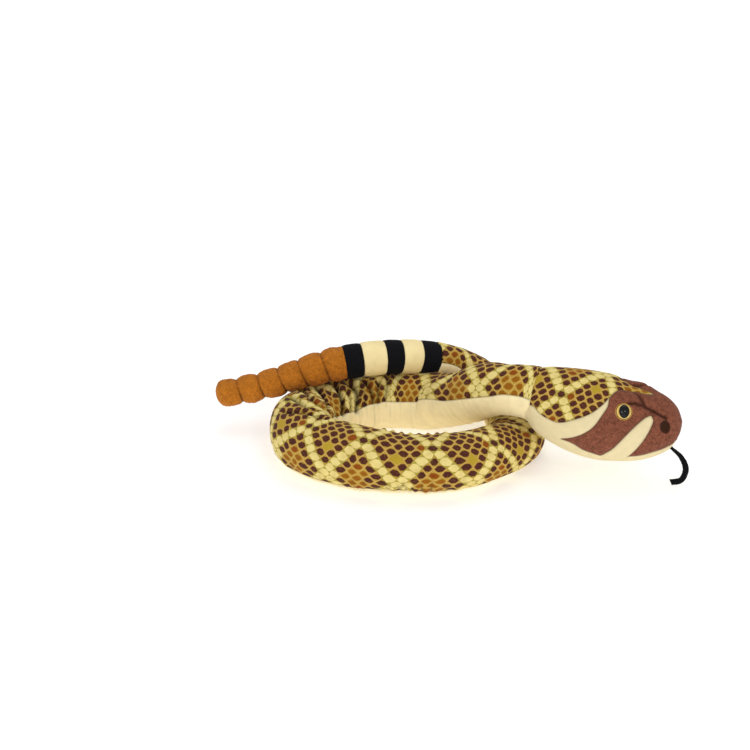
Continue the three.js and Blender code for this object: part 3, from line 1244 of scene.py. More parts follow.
@dataclass
class Body:
    """The printed tube with its cream belly strip, from the head joint to the first tail band.

    Each table goes by length along the middle line, in millimetres. roll holds how far the back is rolled from
    the top towards the outside of the loop, and print_half half the print's width, both in degrees. diamonds
    counts the print's diamonds. spare holds how much longer the cloth is than what the bends take, and gathers
    how deep the gathers at the belly seams are, in millimetres.
    """

    line: MiddleLine
    sizes: TubeSizes
    scales: ScalePrint
    sides: int = 64
    ring_step: float = 3.7 * MM
    outer_share: float = 28 * MM
    overlap: float = 2 * MM
    held_start: float = 14 * MM
    held_end: float = 10 * MM
    least_hold: float = 0.25
    roll: Pairs = (
        (-4, 46), (14, 43), (24, 40), (36, 30), (64, 19), (96, 21), (118, 27), (171, 40), (200, 37),
        (225, 37), (244, 34), (262, 29), (286, 31), (330, 26), (385, 21), (440, 21), (475, 23), (512, 25),
        (546, 27.5), (582, 30), (638, 40), (720, 38), (824, 39), (860, 45), (880, 46),
    )
    print_half: Pairs = (
        (-4, 120), (0, 118), (40, 110), (90, 99), (160, 97), (330, 97), (400, 107), (540, 106), (640, 105),
        (760, 112), (824, 119), (850, 124), (882, 126),
    )
    diamonds: Pairs = (
        (-4, -0.12), (2, 0.02), (21, 0.5), (48, 1), (80, 1.5), (128, 2), (188, 2.5), (215, 3), (239, 3.5),
        (266, 4), (299, 4.5), (351, 5.5), (383, 6), (411, 6.5), (440, 7), (475, 7.5), (512, 8), (547, 8.5),
        (582, 9), (611, 9.5), (638, 10), (700, 11), (762, 12), (824, 13), (859, 13.5), (882, 13.8),
    )
    spare: Pairs = (
        (-4, 0.05), (110, 0.12), (170, 0.30), (300, 0.34), (360, 0.15), (400, 0.05), (480, 0.10), (600, 0.10),
        (700, 0.0), (882, 0.05),
    )
    gathers: Pairs = (
        (-4, 0.3), (60, 0.7), (120, 0.9), (180, 1.1), (215, 1.5), (300, 1.5), (350, 0.9), (440, 0.7),
        (490, 1.7), (575, 1.6), (605, 0.5), (882, 0.4),
    )
    puckers: Lumps = Lumps(1.0, 6.5 * MM, 0.9, 4)
    belly_creases: Lumps = Lumps(1.0, 3.9 * MM, 0.35, 6, 30)
    lumps: Lumps = Lumps(0.9 * MM, 34 * MM, 1.6, 5, 50)
    seam_depth: float = 0.9 * MM
    seam_reach: float = 2.2 * MM
    pucker_reach: float = 22 * MM
    folds: tuple[Fold, ...] = (
        # the left turn and the middle run, where the cloth piles up
        Fold(((372, 30), (387, 3), (402, -9), (417, -14)), 3.4 * MM),
        Fold(((348, 20), (361, 2), (372, -8), (384, -22), (380, -44)), 4.6 * MM),
        Fold(((312, 28), (332, 2), (351, -18), (363, -39), (368, -56)), 5.0 * MM),
        Fold(((298, 20), (310, -22), (330, -42), (351, -58)), 4.2 * MM),
        Fold(((276, 14), (280, -22), (285, -46), (291, -64)), 6.0 * MM, 2.8 * MM),
        Fold(((260, 2), (256, -28), (260, -48), (264, -68)), 6.0 * MM, 2.8 * MM),
        Fold(((243, -6), (240, -33), (240, -56)), 4.6 * MM),
        Fold(((228, -10), (232, -34), (234, -58)), 3.4 * MM),
        Fold(((216, 2), (220, -30), (225, -52)), 3.0 * MM, 2.0 * MM),
        # finer wrinkles between them
        Fold(((324, 20), (340, -6), (354, -26)), 2.6 * MM, 1.8 * MM),
        Fold(((268, -16), (269, -44), (274, -62)), 2.6 * MM, 1.6 * MM),
        Fold(((250, -12), (248, -40), (250, -60)), 2.6 * MM, 1.6 * MM),
    )
    swells: tuple[Swell, ...] = (
        Swell(430, -45, (45, 30), 2.0 * MM),
        Swell(330, -12, (16, 18), 1.2 * MM),
        Swell(192, 4, (40, 26), 2.4 * MM),
        Swell(292, 42, (46, 28), 6.0 * MM),
        Swell(158, 22, (36, 26), 4.0 * MM),
    )
    pleats: Pleats = Pleats(489, 572, 11.4, -32, 16, 2.6 * MM)
    over_radius: float = 36 * MM

    def fabric_length(self, length: np.ndarray) -> np.ndarray:
        """The fabric's own length at each length of the line.

        The fabric is as long as the outside of each bend. Its rate is 1, plus the bend times the outer share of
        the radius, plus what is spare there.

        Args:
            length: Lengths along the middle line.

        Returns:
            The fabric's lengths.
        """
        even = np.arange(-self.overlap, self.line.length, 1 * MM)
        spare = through_table(even / MM, self.spare)
        rate = 1.0 + self.line.bend(np.maximum(even, 0.0)) * self.outer_share + spare
        return np.interp(length, even, running_total((rate[1:] + rate[:-1]) / 2 * np.diff(even)))

    def build(self) -> None:
        """Makes the skin: the tube, settled as cloth, refined, then gathered and sewn along its seams."""
        end = self.sizes.body_length(self.line)
        rings = round((end + self.overlap) / self.ring_step)
        length = np.linspace(-self.overlap, end, rings + 1)
        fabric = turns_round(-math.pi, self.sides)
        points = self._coiled(length, fabric)
        points = self._settled(points, length, fabric)
        fine = refined(points)
        fine_length = np.linspace(-self.overlap, end, len(fine))
        skin = self._sewn(fine, fine_length, turns_round(-math.pi, fine.shape[1]))
        finish = SewnPlush("body_plush", self.scales).material()
        nodes = ["neck"] + [f"body_{number}" for number in range(1, BODY_NODES + 1)]
        dress(skin.to_object("body_skin"), finish, nodes)

    def _roll_at(self, length: np.ndarray) -> np.ndarray:
        """How far the back is rolled towards the outside at each length, in radians, as a column."""
        return np.radians(through_table(length / MM, self.roll))[:, None]

    def _coiled(self, length: np.ndarray, fabric: np.ndarray) -> np.ndarray:
        """The tube where it lies: an angle on the fabric is a turn of a quarter less the roll, plus the angle.

        Args:
            length: The length at each ring.
            fabric: Angles on the fabric from the back's midline.

        Returns:
            Rings by sides by x, y, z.
        """
        turn = math.pi / 2 - self._roll_at(length) + fabric
        radius = self.sizes.girth(length)[:, None]
        squash, nape = self.line.squash(length), self.sizes.nape(length)
        return tube_points(self.line, length, radius, turn, squash, nape)

    def _settled(self, points: np.ndarray, length: np.ndarray, fabric: np.ndarray) -> np.ndarray:
        """The tube after its cloth has found its folds: it is held firmly at both ends and softly between.

        Args:
            points: The coiled tube.
            length: The length at each ring.
            fabric: Angles on the fabric from the back's midline.

        Returns:
            The settled tube.
        """
        girth, cloth = self.sizes.girth(length)[:, None], self.fabric_length(length)[:, None]
        parts = (cloth, girth * np.cos(fabric), girth * np.sin(fabric))
        cut = np.stack(np.broadcast_arrays(*parts), -1)
        to_end = eased(length, length[-1] - self.held_end, length[-1])
        ends = 1.0 - eased(length, 0.0, self.held_start) * (1.0 - to_end)
        hold = self.least_hold + (1.0 - self.least_hold) * ends
        return Stuffing().settle(points, cut, np.repeat(hold[:, None], len(fabric), 1))

    def _gathered(
        self, length: np.ndarray, fabric: np.ndarray, print_depth: np.ndarray
    ) -> tuple[np.ndarray, np.ndarray]:
        """The gathers at the belly seams: rounded puckers with sharp valleys between them that get painted
        shade.

        A pucker is twice the size of the noise along the cloth, less 1. The puckers fade on the print with the
        distance from the seam. The belly has a share of them, and finer creases of its own all over.

        Args:
            length: The length at each ring.
            fabric: Angles on the fabric from the back's midline.
            print_depth: The distance inside the print, below 0 on the belly.

        Returns:
            The rise of each vertex, and how much painted shade its valleys get, from 0 to 1.
        """
        cloth = self.fabric_length(length)
        wave, fine_wave = self.puckers.at(cloth, fabric), self.belly_creases.at(cloth, fabric)
        drawn = through_table(length / MM, self.gathers)[:, None]
        on_print = bump_at(print_depth, 0.0, self.pucker_reach) * eased(print_depth, -1 * MM, 2 * MM)
        on_belly = eased(-print_depth, -1 * MM, 3 * MM)
        coarse = (2.0 * np.abs(wave) - 1.0) * (on_print + 0.3 * on_belly)
        fine = (np.abs(fine_wave) - 0.5) * 0.9 * on_belly
        # painted shade in the valleys between the puckers and between the belly's fine creases
        valleys = bump_at(wave, 0.0, 0.10) * 0.5 * on_print + bump_at(fine_wave, 0.0, 0.12) * 0.16 * on_belly
        return drawn * (coarse + fine) * MM, np.clip(valleys * drawn / 1.5, 0.0, 1.0)

    def _sewn(self, points: np.ndarray, length: np.ndarray, fabric: np.ndarray) -> Skin:
        """The refined tube with its belly seams pulled in, its gathers, lumps, folds, swells and pleats.

        Args:
            points: The refined tube.
            length: The length at each ring.
            fabric: Angles on the fabric from the back's midline.

        Returns:
            The skin with its marks and its print's chart.
        """
        normal = outward_normals(points, self.line.frames(length)[0])
        radius = self.sizes.girth(length)[:, None]
        half = np.radians(through_table(length / MM, self.print_half))[:, None]
        print_depth = (half - np.abs(fabric)) * radius
        from_top = np.mod(self._roll_at(length) - fabric + math.pi, 2 * math.pi) - math.pi
        spots = np.repeat(length[:, None], len(fabric), 1)

        # fold holds painted shade: in the gathers' valleys and along every crease
        rise, fold = self._gathered(length, fabric, print_depth)
        rise = rise - self.seam_depth * bump_at(print_depth, 0.0, self.seam_reach)
        rise = rise + self.lumps.at(self.fabric_length(length), fabric)
        for crease in self.folds:
            away = crease.away(spots, from_top, self.over_radius)
            rise = rise + crease.rise(away)
            fold = np.maximum(fold, crease.shade(away))
        for raised in (*self.swells, self.pleats):
            rise = rise + raised.at(spots, from_top)

        moved = points + normal * rise[..., None]
        moved[..., 2] = np.maximum(moved[..., 2], 0.0)
        passed = through_table(length / MM, self.diamonds)[:, None] * self.scales.period * self.scales.column
        across = np.append(fabric, math.pi) * radius
        chart = np.stack(np.broadcast_arrays(passed, across), -1)
        return Skin(moved, chart, {"print_depth": print_depth, "fold": fold})


# Head


@dataclass
class HeadShape:
    """The head's form: stations from the joint to the nose, in millimetres.

    Each station holds the length, the half width, the height over the axis and the depth under it.
    """

    line: MiddleLine
    stations: tuple[tuple[float, float, float, float], ...] = (
        (0, 29, 34, 28), (5, 33, 36.5, 33), (14, 38, 39, 39), (34, 44, 42, 46.5), (58, 49, 44.5, 51.5),
        (84, 52, 44.5, 52), (108, 44, 38.5, 50), (130, 36, 37.5, 45), (148, 29, 35.5, 36),
        (162, 21, 26, 24.5), (170, 11, 12, 10.5),
    )
    boxiness: float = 0.84
    crown_taper: float = 0.2
    brow_length: float = 118 * MM
    brow_turn: float = 1.05
    brow_reach: tuple[float, float] = (18 * MM, 0.26)
    brow_rise: float = 6 * MM
    length: float = 170 * MM

    def __post_init__(self) -> None:
        """Works out the joint's place and directions and the profile curves."""
        middle, along, _, _ = self.line.frames(np.zeros(1))
        self.start = middle[0]
        self.along = -along[0]
        self.side = unit(np.cross(self.along, UP))
        self.over = np.cross(self.side, self.along)
        self.profile = spline_points(np.array(self.stations, float) * MM, 60, 0.0)

    def _profile(self, column: int, length: np.ndarray) -> np.ndarray:
        """One profile curve at each length."""
        return np.interp(length, self.profile[:, 0], self.profile[:, column])

    def points(self, length: np.ndarray, turn: np.ndarray) -> np.ndarray:
        """Points of the head before sewing.

        Over the axis a section is an oval that narrows towards the crown, and under it a fuller one, between an
        oval and a box. The brows add a bell in length and turn.

        Args:
            length: Lengths from the joint.
            turn: Turns from the snake's right side over the crown.

        Returns:
            An array of x, y, z in the shape of the two.
        """
        sine, cosine = np.sin(turn), np.cos(turn)
        low_sine, low_cosine = powered(sine, self.boxiness), powered(cosine, self.boxiness)
        share = np.where(sine >= 0, cosine * (1 - self.crown_taper * sine), low_cosine)
        across = self._profile(1, length) * share
        height = np.where(sine >= 0, self._profile(2, length) * sine, self._profile(3, length) * low_sine)
        rise = np.zeros_like(turn)
        for middle in (self.brow_turn, math.pi - self.brow_turn):
            near = bump_at(length, self.brow_length, self.brow_reach[0])
            rise = rise + self.brow_rise * near * bump_at(turn, middle, self.brow_reach[1])
        return (
            self.start
            + self.along * length[..., None]
            + self.side * (across + rise * cosine)[..., None]
            + self.over * (height + rise * sine)[..., None]
        )

    def frame_at(self, length: float, turn: float) -> tuple[np.ndarray, np.ndarray]:
        """A point of the head and its outward direction, from small steps in length and turn about it.

        Args:
            length: The length from the joint.
            turn: The turn from the snake's right side over the crown.

        Returns:
            The point and the direction.
        """
        turn_step = 0.02
        lengths = np.array([length, length + MM, length - MM, length, length])
        turns = np.array([turn, turn, turn, turn + turn_step, turn - turn_step])
        point, ahead, behind, above, below = self.points(lengths, turns)
        return point, unit(np.cross(ahead - behind, above - below))


@dataclass
class Head:
    """The sewn head: a printed crown, a brown face, cream crescents, jaw and cheek stripes.

    Seams are routes on the fabric, in millimetres: the length from the joint, and the distance round from the
    crown's midline. Both sides are alike. The crown's print is cut askew: its columns and rows are straight
    counts of the length, the distance round to the snake's left, and 1.
    """

    shape: HeadShape
    scales: ScalePrint
    rings: int = 150
    sides: int = 216
    overlap: float = 2 * MM
    nose_crowding: float = 0.15
    brow_seam: Pairs = ((134, 0), (128, 3.5), (119, 5), (106, 8), (96, 15.5), (90, 29))
    print_seam: Pairs = (
        (90, 29), (84, 41.5), (74, 53.5), (56, 63.5), (40, 68.5), (26, 64.5), (16, 58.5), (5, 48), (-10, 42),
    )
    face_seam: Pairs = ((90, 29), (91, 39), (88, 50), (81, 67), (70, 79), (56, 87.5), (44, 91.5))
    jaw_seam: Pairs = (
        (44, 91.5), (60, 95.5), (73, 103), (86, 105), (96, 106), (108, 104), (120, 97), (140, 81), (155, 64),
        (163, 50), (170, 34), (176, 16),
    )
    stripe: Pairs = (
        (138.5, 29.5), (133.5, 35), (125, 50), (115, 69), (104.5, 87.5), (97, 99), (92, 110), (106, 116),
        (117, 104), (122.5, 94.5), (130, 77.5), (137.5, 57.5), (141.5, 42), (142, 33), (138.5, 29.5),
    )
    past_crown: float = -60
    creases: tuple[Pairs, ...] = (
        ((112, 29), (117, 27.5), (124, 26), (131, 24.5), (138, 24), (147, 24), (155, 22)),
        ((110, 9), (115, 10), (120, 14), (125, 19), (131, 24.5)),
    )
    crease_depth: float = 4.0 * MM
    crease_width: float = 1.8 * MM
    crease_shade: float = 0.75
    seam_depth: float = 1.1 * MM
    seam_reach: float = 2.4 * MM
    nostril_at: tuple[float, float] = (156, 31)
    nostril_size: tuple[float, float] = (8.2, 4.9)
    nostril_turn: float = math.radians(113)
    nostril_sink: float = 1.8 * MM
    print_column: tuple[float, float, float] = (-0.0847, 0.0122, 6.53)
    print_row: tuple[float, float, float] = (-0.0143, -0.1339, -4.19)

    def build(self) -> None:
        """Makes the head's skin with its panels, seams, brow creases and nostrils.

        The rings crowd towards the nose: their share of the length is a sine of nearly even turns.
        """
        quarter = math.pi / 2
        even = np.linspace(0.0, quarter, self.rings + 1)
        share = np.sin(even ** (1 + self.nose_crowding) / quarter**self.nose_crowding)
        length = -self.overlap + (self.shape.length + self.overlap) * share
        lengths, turns = np.meshgrid(length, turns_round(-quarter, self.sides), indexing="ij")
        points = self.shape.points(lengths, turns)
        around = self._around(points)
        marks, rise = self._panels(lengths, np.abs(around[:, :-1]))
        middle = self.shape.start + self.shape.along * length[:, None]
        points = points + outward_normals(points, middle) * rise[..., None]
        skin = Skin(points, self._chart(length, around), marks)
        # the head's cream is a darker copy of the body's cream: painted shade
        finish = SewnPlush("head_plush", self.scales, has_brown=True, cream=linear(234, 217, 171)).material()
        dress(skin.to_object("head_skin"), finish, ["head"])

    def _chart(self, length: np.ndarray, around: np.ndarray) -> np.ndarray:
        """The print's place at each vertex: its counts of columns and rows times their sizes.

        Args:
            length: The length at each ring.
            around: The distance round from the crown, rings by sides and one more.

        Returns:
            The chart, in metres.
        """
        columns, rows = (
            per_length * length[:, None] / MM + per_round * around / MM + first
            for per_length, per_round, first in (self.print_column, self.print_row)
        )
        return np.stack([columns * self.scales.column, rows * self.scales.row], -1)

    def _around(self, points: np.ndarray) -> np.ndarray:
        """The distance round each ring from the crown, above 0 on the snake's left: summed straight steps.

        Args:
            points: The head's points.

        Returns:
            Distances, rings by sides and one more.
        """
        closed = np.concatenate([points, points[:, :1]], 1)
        gaps = np.linalg.norm(np.diff(closed, axis=1), axis=2)
        whole = np.concatenate([np.zeros((len(points), 1)), np.cumsum(gaps, 1)], 1)
        crown = self.sides // 2
        return whole - whole[:, crown : crown + 1]

    def _in_nostril(self, lengths: np.ndarray, aside: np.ndarray) -> np.ndarray:
        """The depth inside the nostril's oval: 1 less the share of the way to its rim, times its short radius.

        Args:
            lengths: Each vertex's length from the joint.
            aside: Each vertex's distance round from the crown.

        Returns:
            The depth, below 0 outside.
        """
        off_x, off_y = lengths / MM - self.nostril_at[0], aside / MM - self.nostril_at[1]
        cos, sin = math.cos(self.nostril_turn), math.sin(self.nostril_turn)
        long, short = self.nostril_size
        share = np.hypot((off_x * cos + off_y * sin) / long, (off_y * cos - off_x * sin) / short)
        return (1.0 - share) * short * MM

    def _panels(self, lengths: np.ndarray, aside: np.ndarray) -> tuple[dict[str, np.ndarray], np.ndarray]:
        """Each panel's depth marks, and how far the sewing raises or sinks the skin.

        Args:
            lengths: Each vertex's length from the joint.
            aside: Each vertex's distance round from the crown.

        Returns:
            The marks by name, and the rise of each vertex.
        """
        seams = (self.brow_seam, self.print_seam, self.face_seam, self.jaw_seam, self.stripe)
        brow, print_side, face, jaw, stripe = (spline_points(route) * MM for route in seams)
        ends = (self.brow_seam[0], self.print_seam[-1], self.jaw_seam[-1])
        tip, back, nose = (np.array([end[0], self.past_crown]) * MM for end in ends)
        in_print = depth_inside(lengths, aside, np.vstack([brow, print_side, back, tip]))
        in_brown = depth_inside(lengths, aside, np.vstack([brow, face, jaw, nose, tip]))
        in_brown = np.minimum(in_brown, -depth_inside(lengths, aside, stripe))
        in_nostril = self._in_nostril(lengths, aside)
        seam = np.minimum(np.abs(in_print), np.abs(in_brown))
        creased = np.zeros_like(lengths)
        for crease in self.creases:
            away = distance_to_line(lengths, aside, spline_points(np.array(crease) * MM, 8))
            creased = np.maximum(creased, bump_at(away, 0.0, self.crease_width))
        rise = -self.seam_depth * bump_at(seam, 0.0, self.seam_reach) - self.crease_depth * creased
        rise = rise - self.nostril_sink * eased(in_nostril, -1.5 * MM, 2.5 * MM)
        marks = {"print_depth": in_print, "brown_depth": in_brown, "nostril_depth": in_nostril}
        # painted shade along the brow creases, which are also sunk
        marks["fold"] = creased * self.crease_shade
        return marks, rise


@dataclass
class Eye:
    """A domed eye button with a rolled rim, set at the head's side and sunk into it."""

    shape: HeadShape
    side: Side
    radius: float = 9.6 * MM
    height: float = 6 * MM
    sink: float = 4 * MM
    foot_share: float = 0.85
    rim_width: float = 1.1 * MM
    rim_lift: float = 0.5 * MM
    dome_base: float = 0.9 * MM
    at_length: float = 109 * MM
    at_turn: float = 0.64
    sides: int = 64
    dome_rings: int = 22
    rim_rings: int = 9

    def _section(self) -> tuple[np.ndarray, np.ndarray]:
        """The button's section: two points of the sunk foot, the rim's arc, and the dome's quarter ellipse.

        Returns:
            Heights over the head's skin, and radii.
        """
        lift = np.linspace(0.0, math.pi / 2 * 0.985, self.dome_rings)
        rim_turn = np.linspace(-math.pi / 2, math.pi * 0.75, self.rim_rings)
        rim_radius = self.rim_width * 0.55
        foot = self.radius * self.foot_share
        rim_heights = rim_radius * np.sin(rim_turn) + self.rim_lift
        rim_radii = self.radius - rim_radius + rim_radius * np.cos(rim_turn)
        dome_heights = self.dome_base + (self.height - self.dome_base) * np.sin(lift)
        dome_radii = (self.radius - self.rim_width) * np.cos(lift)
        heights = np.concatenate([[-self.sink, -self.sink * 0.5], rim_heights, dome_heights])
        return heights, np.concatenate([[foot, foot], rim_radii, dome_radii])

    def build(self, finish: bpy.types.Material) -> None:
        """Makes the button: its section turned round the head's outward direction.

        Args:
            finish: The eye's material.
        """
        turn = self.at_turn if self.side is Side.RIGHT else math.pi - self.at_turn
        point, normal = self.shape.frame_at(self.at_length, turn)
        across = unit(np.cross(UP, normal))
        rise = np.cross(normal, across)
        heights, radii = self._section()
        around = turns_round(0.0, self.sides)
        circle = across * np.cos(around)[:, None] + rise * np.sin(around)[:, None]
        points = point + normal * heights[:, None, None] + circle[None] * radii[:, None, None]
        whole = np.append(around, 2 * math.pi)
        chart = np.stack([np.cos(whole), np.sin(whole)], -1)[None] * (radii / self.radius)[:, None, None]
        piece = Skin(points, chart).to_object(f"eye_{self.side.value}_button")
        dress(piece, finish, [f"eye_{self.side.value}"])


@dataclass
class Tongue:
    """A flat strip of black felt that hooks down and back from the mouth seam.

    The points are listed, in millimetres of the layout.
    """

    thickness: float = 1.8 * MM
    root_width: float = 3.6 * MM
    width: float = 7 * MM
    points: tuple[tuple[float, float, float], ...] = (
        (244, 15, 56), (252, 13, 49), (263, 10, 39), (268.5, 8, 25), (264, 8, 11), (253, 10, 7),
    )
    facing: tuple[float, float, float] = (0.2, -1.0, 0.25)
    boxiness: float = 0.25
    end_slant: float = 0.15
    fray: Lumps = Lumps(0.05, 1.3 * MM, 2, 11, 9)
    rings: int = 120
    sides: int = 32

    def build(self, finish: bpy.types.Material) -> None:
        """Makes the strip: a rounded box section carried along the route, cut off nearly square at its end.

        Args:
            finish: The felt's material.
        """
        route = spline_points(np.array(self.points, float) * MM - LAYOUT_ORIGIN, 60)
        arc = length_along(route)
        even = np.linspace(0.0, arc[-1], self.rings)
        share = even / arc[-1]
        centre = rows_at(even, arc, route)
        along = unit(np.gradient(centre, axis=0))
        across = unit(np.cross(along, np.array(self.facing)))
        normal = np.cross(across, along)
        turn = turns_round(0.0, self.sides)
        flat, deep = powered(np.cos(turn), self.boxiness), powered(np.sin(turn), self.boxiness)
        half = (self.root_width + (self.width - self.root_width) * eased(share, 0.1, 0.6)) / 2
        wide = half[:, None] * flat * (1 + self.fray.at(even, flat))
        slant = eased(share, 0.9, 1.0)[:, None] * wide * self.end_slant
        points = (
            centre[:, None]
            + across[:, None] * wide[..., None]
            + normal[:, None] * (self.thickness / 2 * deep)[None, :, None]
            + along[:, None] * slant[..., None]
        )
        dress(Skin(points).to_object("tongue_felt"), finish, ["tongue"])


# Banded tail and rattle


@dataclass
class TailBands:
    """Five sewn bands, black and cream by turns, each a drum that is pulled in at its seams."""

    line: MiddleLine
    sizes: TubeSizes
    seam_depth: float = 1.2 * MM
    seam_reach: float = 2.2 * MM
    puckers: int = 36
    pucker_share: float = 0.35
    pucker_seed: int = 20
    lumps: Lumps = Lumps(0.35 * MM, 12 * MM, 1.3, 30)
    sides: int = 112
    ring_step: float = 0.7 * MM
    gap: float = 0.15 * MM

    def build(self, black: bpy.types.Material, cream: bpy.types.Material) -> None:
        """Makes the bands from the body to the rattle.

        Args:
            black: The black plush.
            cream: The cream plush.
        """
        seams = self.sizes.body_length(self.line) + running_total(self.sizes.band_lengths)
        for number, (start, end) in enumerate(zip(seams[:-1], seams[1:]), start=1):
            finish, slot = (black, Slot.BLACK) if number % 2 == 1 else (cream, Slot.CREAM)
            piece = self._band(number, start, end)
            dress(piece, finish, [f"tail_band_{number}"])

    def _band(self, number: int, start: float, end: float) -> bpy.types.Object:
        """Makes one band: its radius falls off towards each seam, more in the puckers, and it is lumpy.

        Args:
            number: The band's number, from the body on.
            start: Its first length along the middle line.
            end: Its last length.

        Returns:
            The band's mesh object.
        """
        length = np.linspace(start + self.gap, end - self.gap, round((end - start) / self.ring_step))
        turn = turns_round(0.0, self.sides)
        to_seam = np.minimum(length - start, end - length)[:, None]
        cells = turn[None] * self.puckers / (2 * math.pi)
        pucker = value_noise(cells, np.zeros_like(to_seam), self.pucker_seed + number)
        fall = self.seam_depth * (1 + self.pucker_share * pucker) * np.exp(-to_seam / self.seam_reach)
        radius = self.sizes.tail_radius - fall + self.lumps.at(length, turn, number)
        return Skin(tube_points(self.line, length, radius, turn)).to_object(f"tail_band_skin_{number}")


@dataclass
class Rattle:
    """A fuzzy fleece tube drawn in between its lobes, shrinking to a round tip.

    The seams between the lobes are tilted, from the first tilt at the bands to the last at the tip.
    """

    line: MiddleLine
    sizes: TubeSizes
    tip_radius: float = 16 * MM
    groove_depth: float = 4.6 * MM
    groove_reach: float = 1.2 * MM
    tip_cap: float = 13.6 * MM
    tip_power: float = 2.6
    tilt: tuple[float, float] = (1.5 * MM, 2.2 * MM)
    tilt_turn: float = 0.45
    tilt_start: float = 12 * MM
    nap: tuple[Lumps, ...] = (
        Lumps(0.45 * MM, 2.6 * MM, 17 / math.pi, 41),
        Lumps(0.30 * MM, 1.3 * MM, 38 / math.pi, 42),
        Lumps(0.7 * MM, 13 * MM, 5 / math.pi, 43, 7),
    )
    shade_patches: Lumps = Lumps(0.3, 3 * MM, 12 / math.pi, 44)
    sides: int = 132
    ring_step: float = 0.8 * MM

    def build(self, fleece: bpy.types.Material) -> None:
        """Makes the fleece tube: lumpy, with tufts of nap and painted shade in each groove, uneven along it.

        The painted shade is fainter on the upper side, which faces the light.

        Args:
            fleece: The rattle's fleece.
        """
        start = self.sizes.body_length(self.line) + sum(self.sizes.band_lengths)
        span = sum(self.sizes.lobe_lengths)
        place = self._place_by_share(np.linspace(0.0, 1.0, round(span / self.ring_step) + 1), span)
        turn = turns_round(0.0, self.sides)
        first_tilt, last_tilt = self.tilt
        tilt = (first_tilt + (last_tilt - first_tilt) * place / span) * eased(place, 0.0, self.tilt_start)
        slanted = place[:, None] - tilt[:, None] * np.sin(turn + self.tilt_turn)
        radius, groove = self._radius(slanted, place, span)
        radius = radius + sum(lumps.at(place, turn) for lumps in self.nap)
        points = tube_points(self.line, start + place, radius, turn)
        # painted shade in the grooves: patchy along them, and fainter towards the top, which faces the light
        patchy = 0.8 + self.shade_patches.at(place, turn)
        lower = 0.45 + 0.55 * eased(-np.sin(turn), -0.9, 0.2)
        piece = Skin(points, None, {"fold": groove * patchy * lower}).to_object("rattle_skin")
        nodes = [f"rattle_{number}" for number in range(1, len(self.sizes.lobe_lengths) + 1)]
        dress(piece, fleece, nodes)

    def _place_by_share(self, share: np.ndarray, span: float) -> np.ndarray:
        """Places along the rattle, even up to the tip's cap and then by equal turns of its quarter circle.

        Args:
            share: Each ring's share of the rings.
            span: The rattle's length.

        Returns:
            The place of each ring.
        """
        knee = 1.0 - 2.2 * self.tip_cap / span
        flat = share / knee * (span - self.tip_cap)
        quarter = np.clip((share - knee) / (1.0 - knee), 0.0, 1.0) * math.pi / 2
        return np.where(share < knee, flat, span - self.tip_cap + self.tip_cap * np.sin(quarter))

    def _radius(self, slanted: np.ndarray, place: np.ndarray, span: float) -> tuple[np.ndarray, np.ndarray]:
        """The fleece's radius and how far each vertex is in a groove.

        The crest shrinks evenly to the tip. In a lobe the radius falls from it by the groove's depth times 1
        less the fullness, the square root of the sine of half a turn of the share of the way along the lobe.
        The last lobe stays full from its middle on, and the radius falls to nearly nothing over the cap.

        Args:
            slanted: Rings by sides: the place along the rattle by which the lobes are counted.
            place: The place of each ring.
            span: The rattle's length.

        Returns:
            The radius, and 1 at a groove's bottom down to 0 beside it, both rings by sides.
        """
        seams = np.concatenate([[0.0], np.cumsum(self.sizes.lobe_lengths)])
        lobes = len(self.sizes.lobe_lengths)
        lobe = np.clip(np.searchsorted(seams, slanted, side="right") - 1, 0, lobes - 1)
        share = np.clip((slanted - seams[lobe]) / np.diff(seams)[lobe], 0.0, 1.0)
        share = np.where(lobe == lobes - 1, np.minimum(share, 0.5), share)
        share = np.where(lobe == 0, np.maximum(share, 0.2), share)
        fullness = np.sqrt(np.sin(math.pi * share))
        crest = self.sizes.tail_radius + (self.tip_radius - self.sizes.tail_radius) * slanted / span
        end = np.clip((place - (span - self.tip_cap)) / self.tip_cap, 0.0, 1.0)[:, None]
        to_seam = np.abs(slanted[..., None] - seams[1:-1]).min(-1)
        cap = np.sqrt(1 - 0.995 * end**self.tip_power)
        radius = (crest - self.groove_depth * (1 - fullness)) * cap
        return radius, bump_at(to_seam, 0.0, self.groove_reach)


# Studio


@dataclass(frozen=True)
class Lamp:
    """A square soft light: its place, its side and its power, in metres and watts."""

    name: str
    at: tuple[float, float, float]
    size: float
    power: float
    aim: tuple[float, float, float] = (0.0, 0.0, 0.04)

    def hang(self) -> None:
        """Adds the light, turned towards its aim at the toy."""
        data = bpy.data.lights.new(self.name, "AREA")
        data.size = self.size
        data.energy = self.power
        lamp = bpy.data.objects.new(self.name, data)
        lamp.location = self.at
        way = np.array(self.aim) - np.array(self.at)
        yaw = math.atan2(way[0], -way[1])
        tilt = math.atan2(math.hypot(way[0], way[1]), -way[2])
        lamp.rotation_euler = (tilt, 0.0, yaw + math.pi)
        bpy.context.scene.collection.objects.link(lamp)


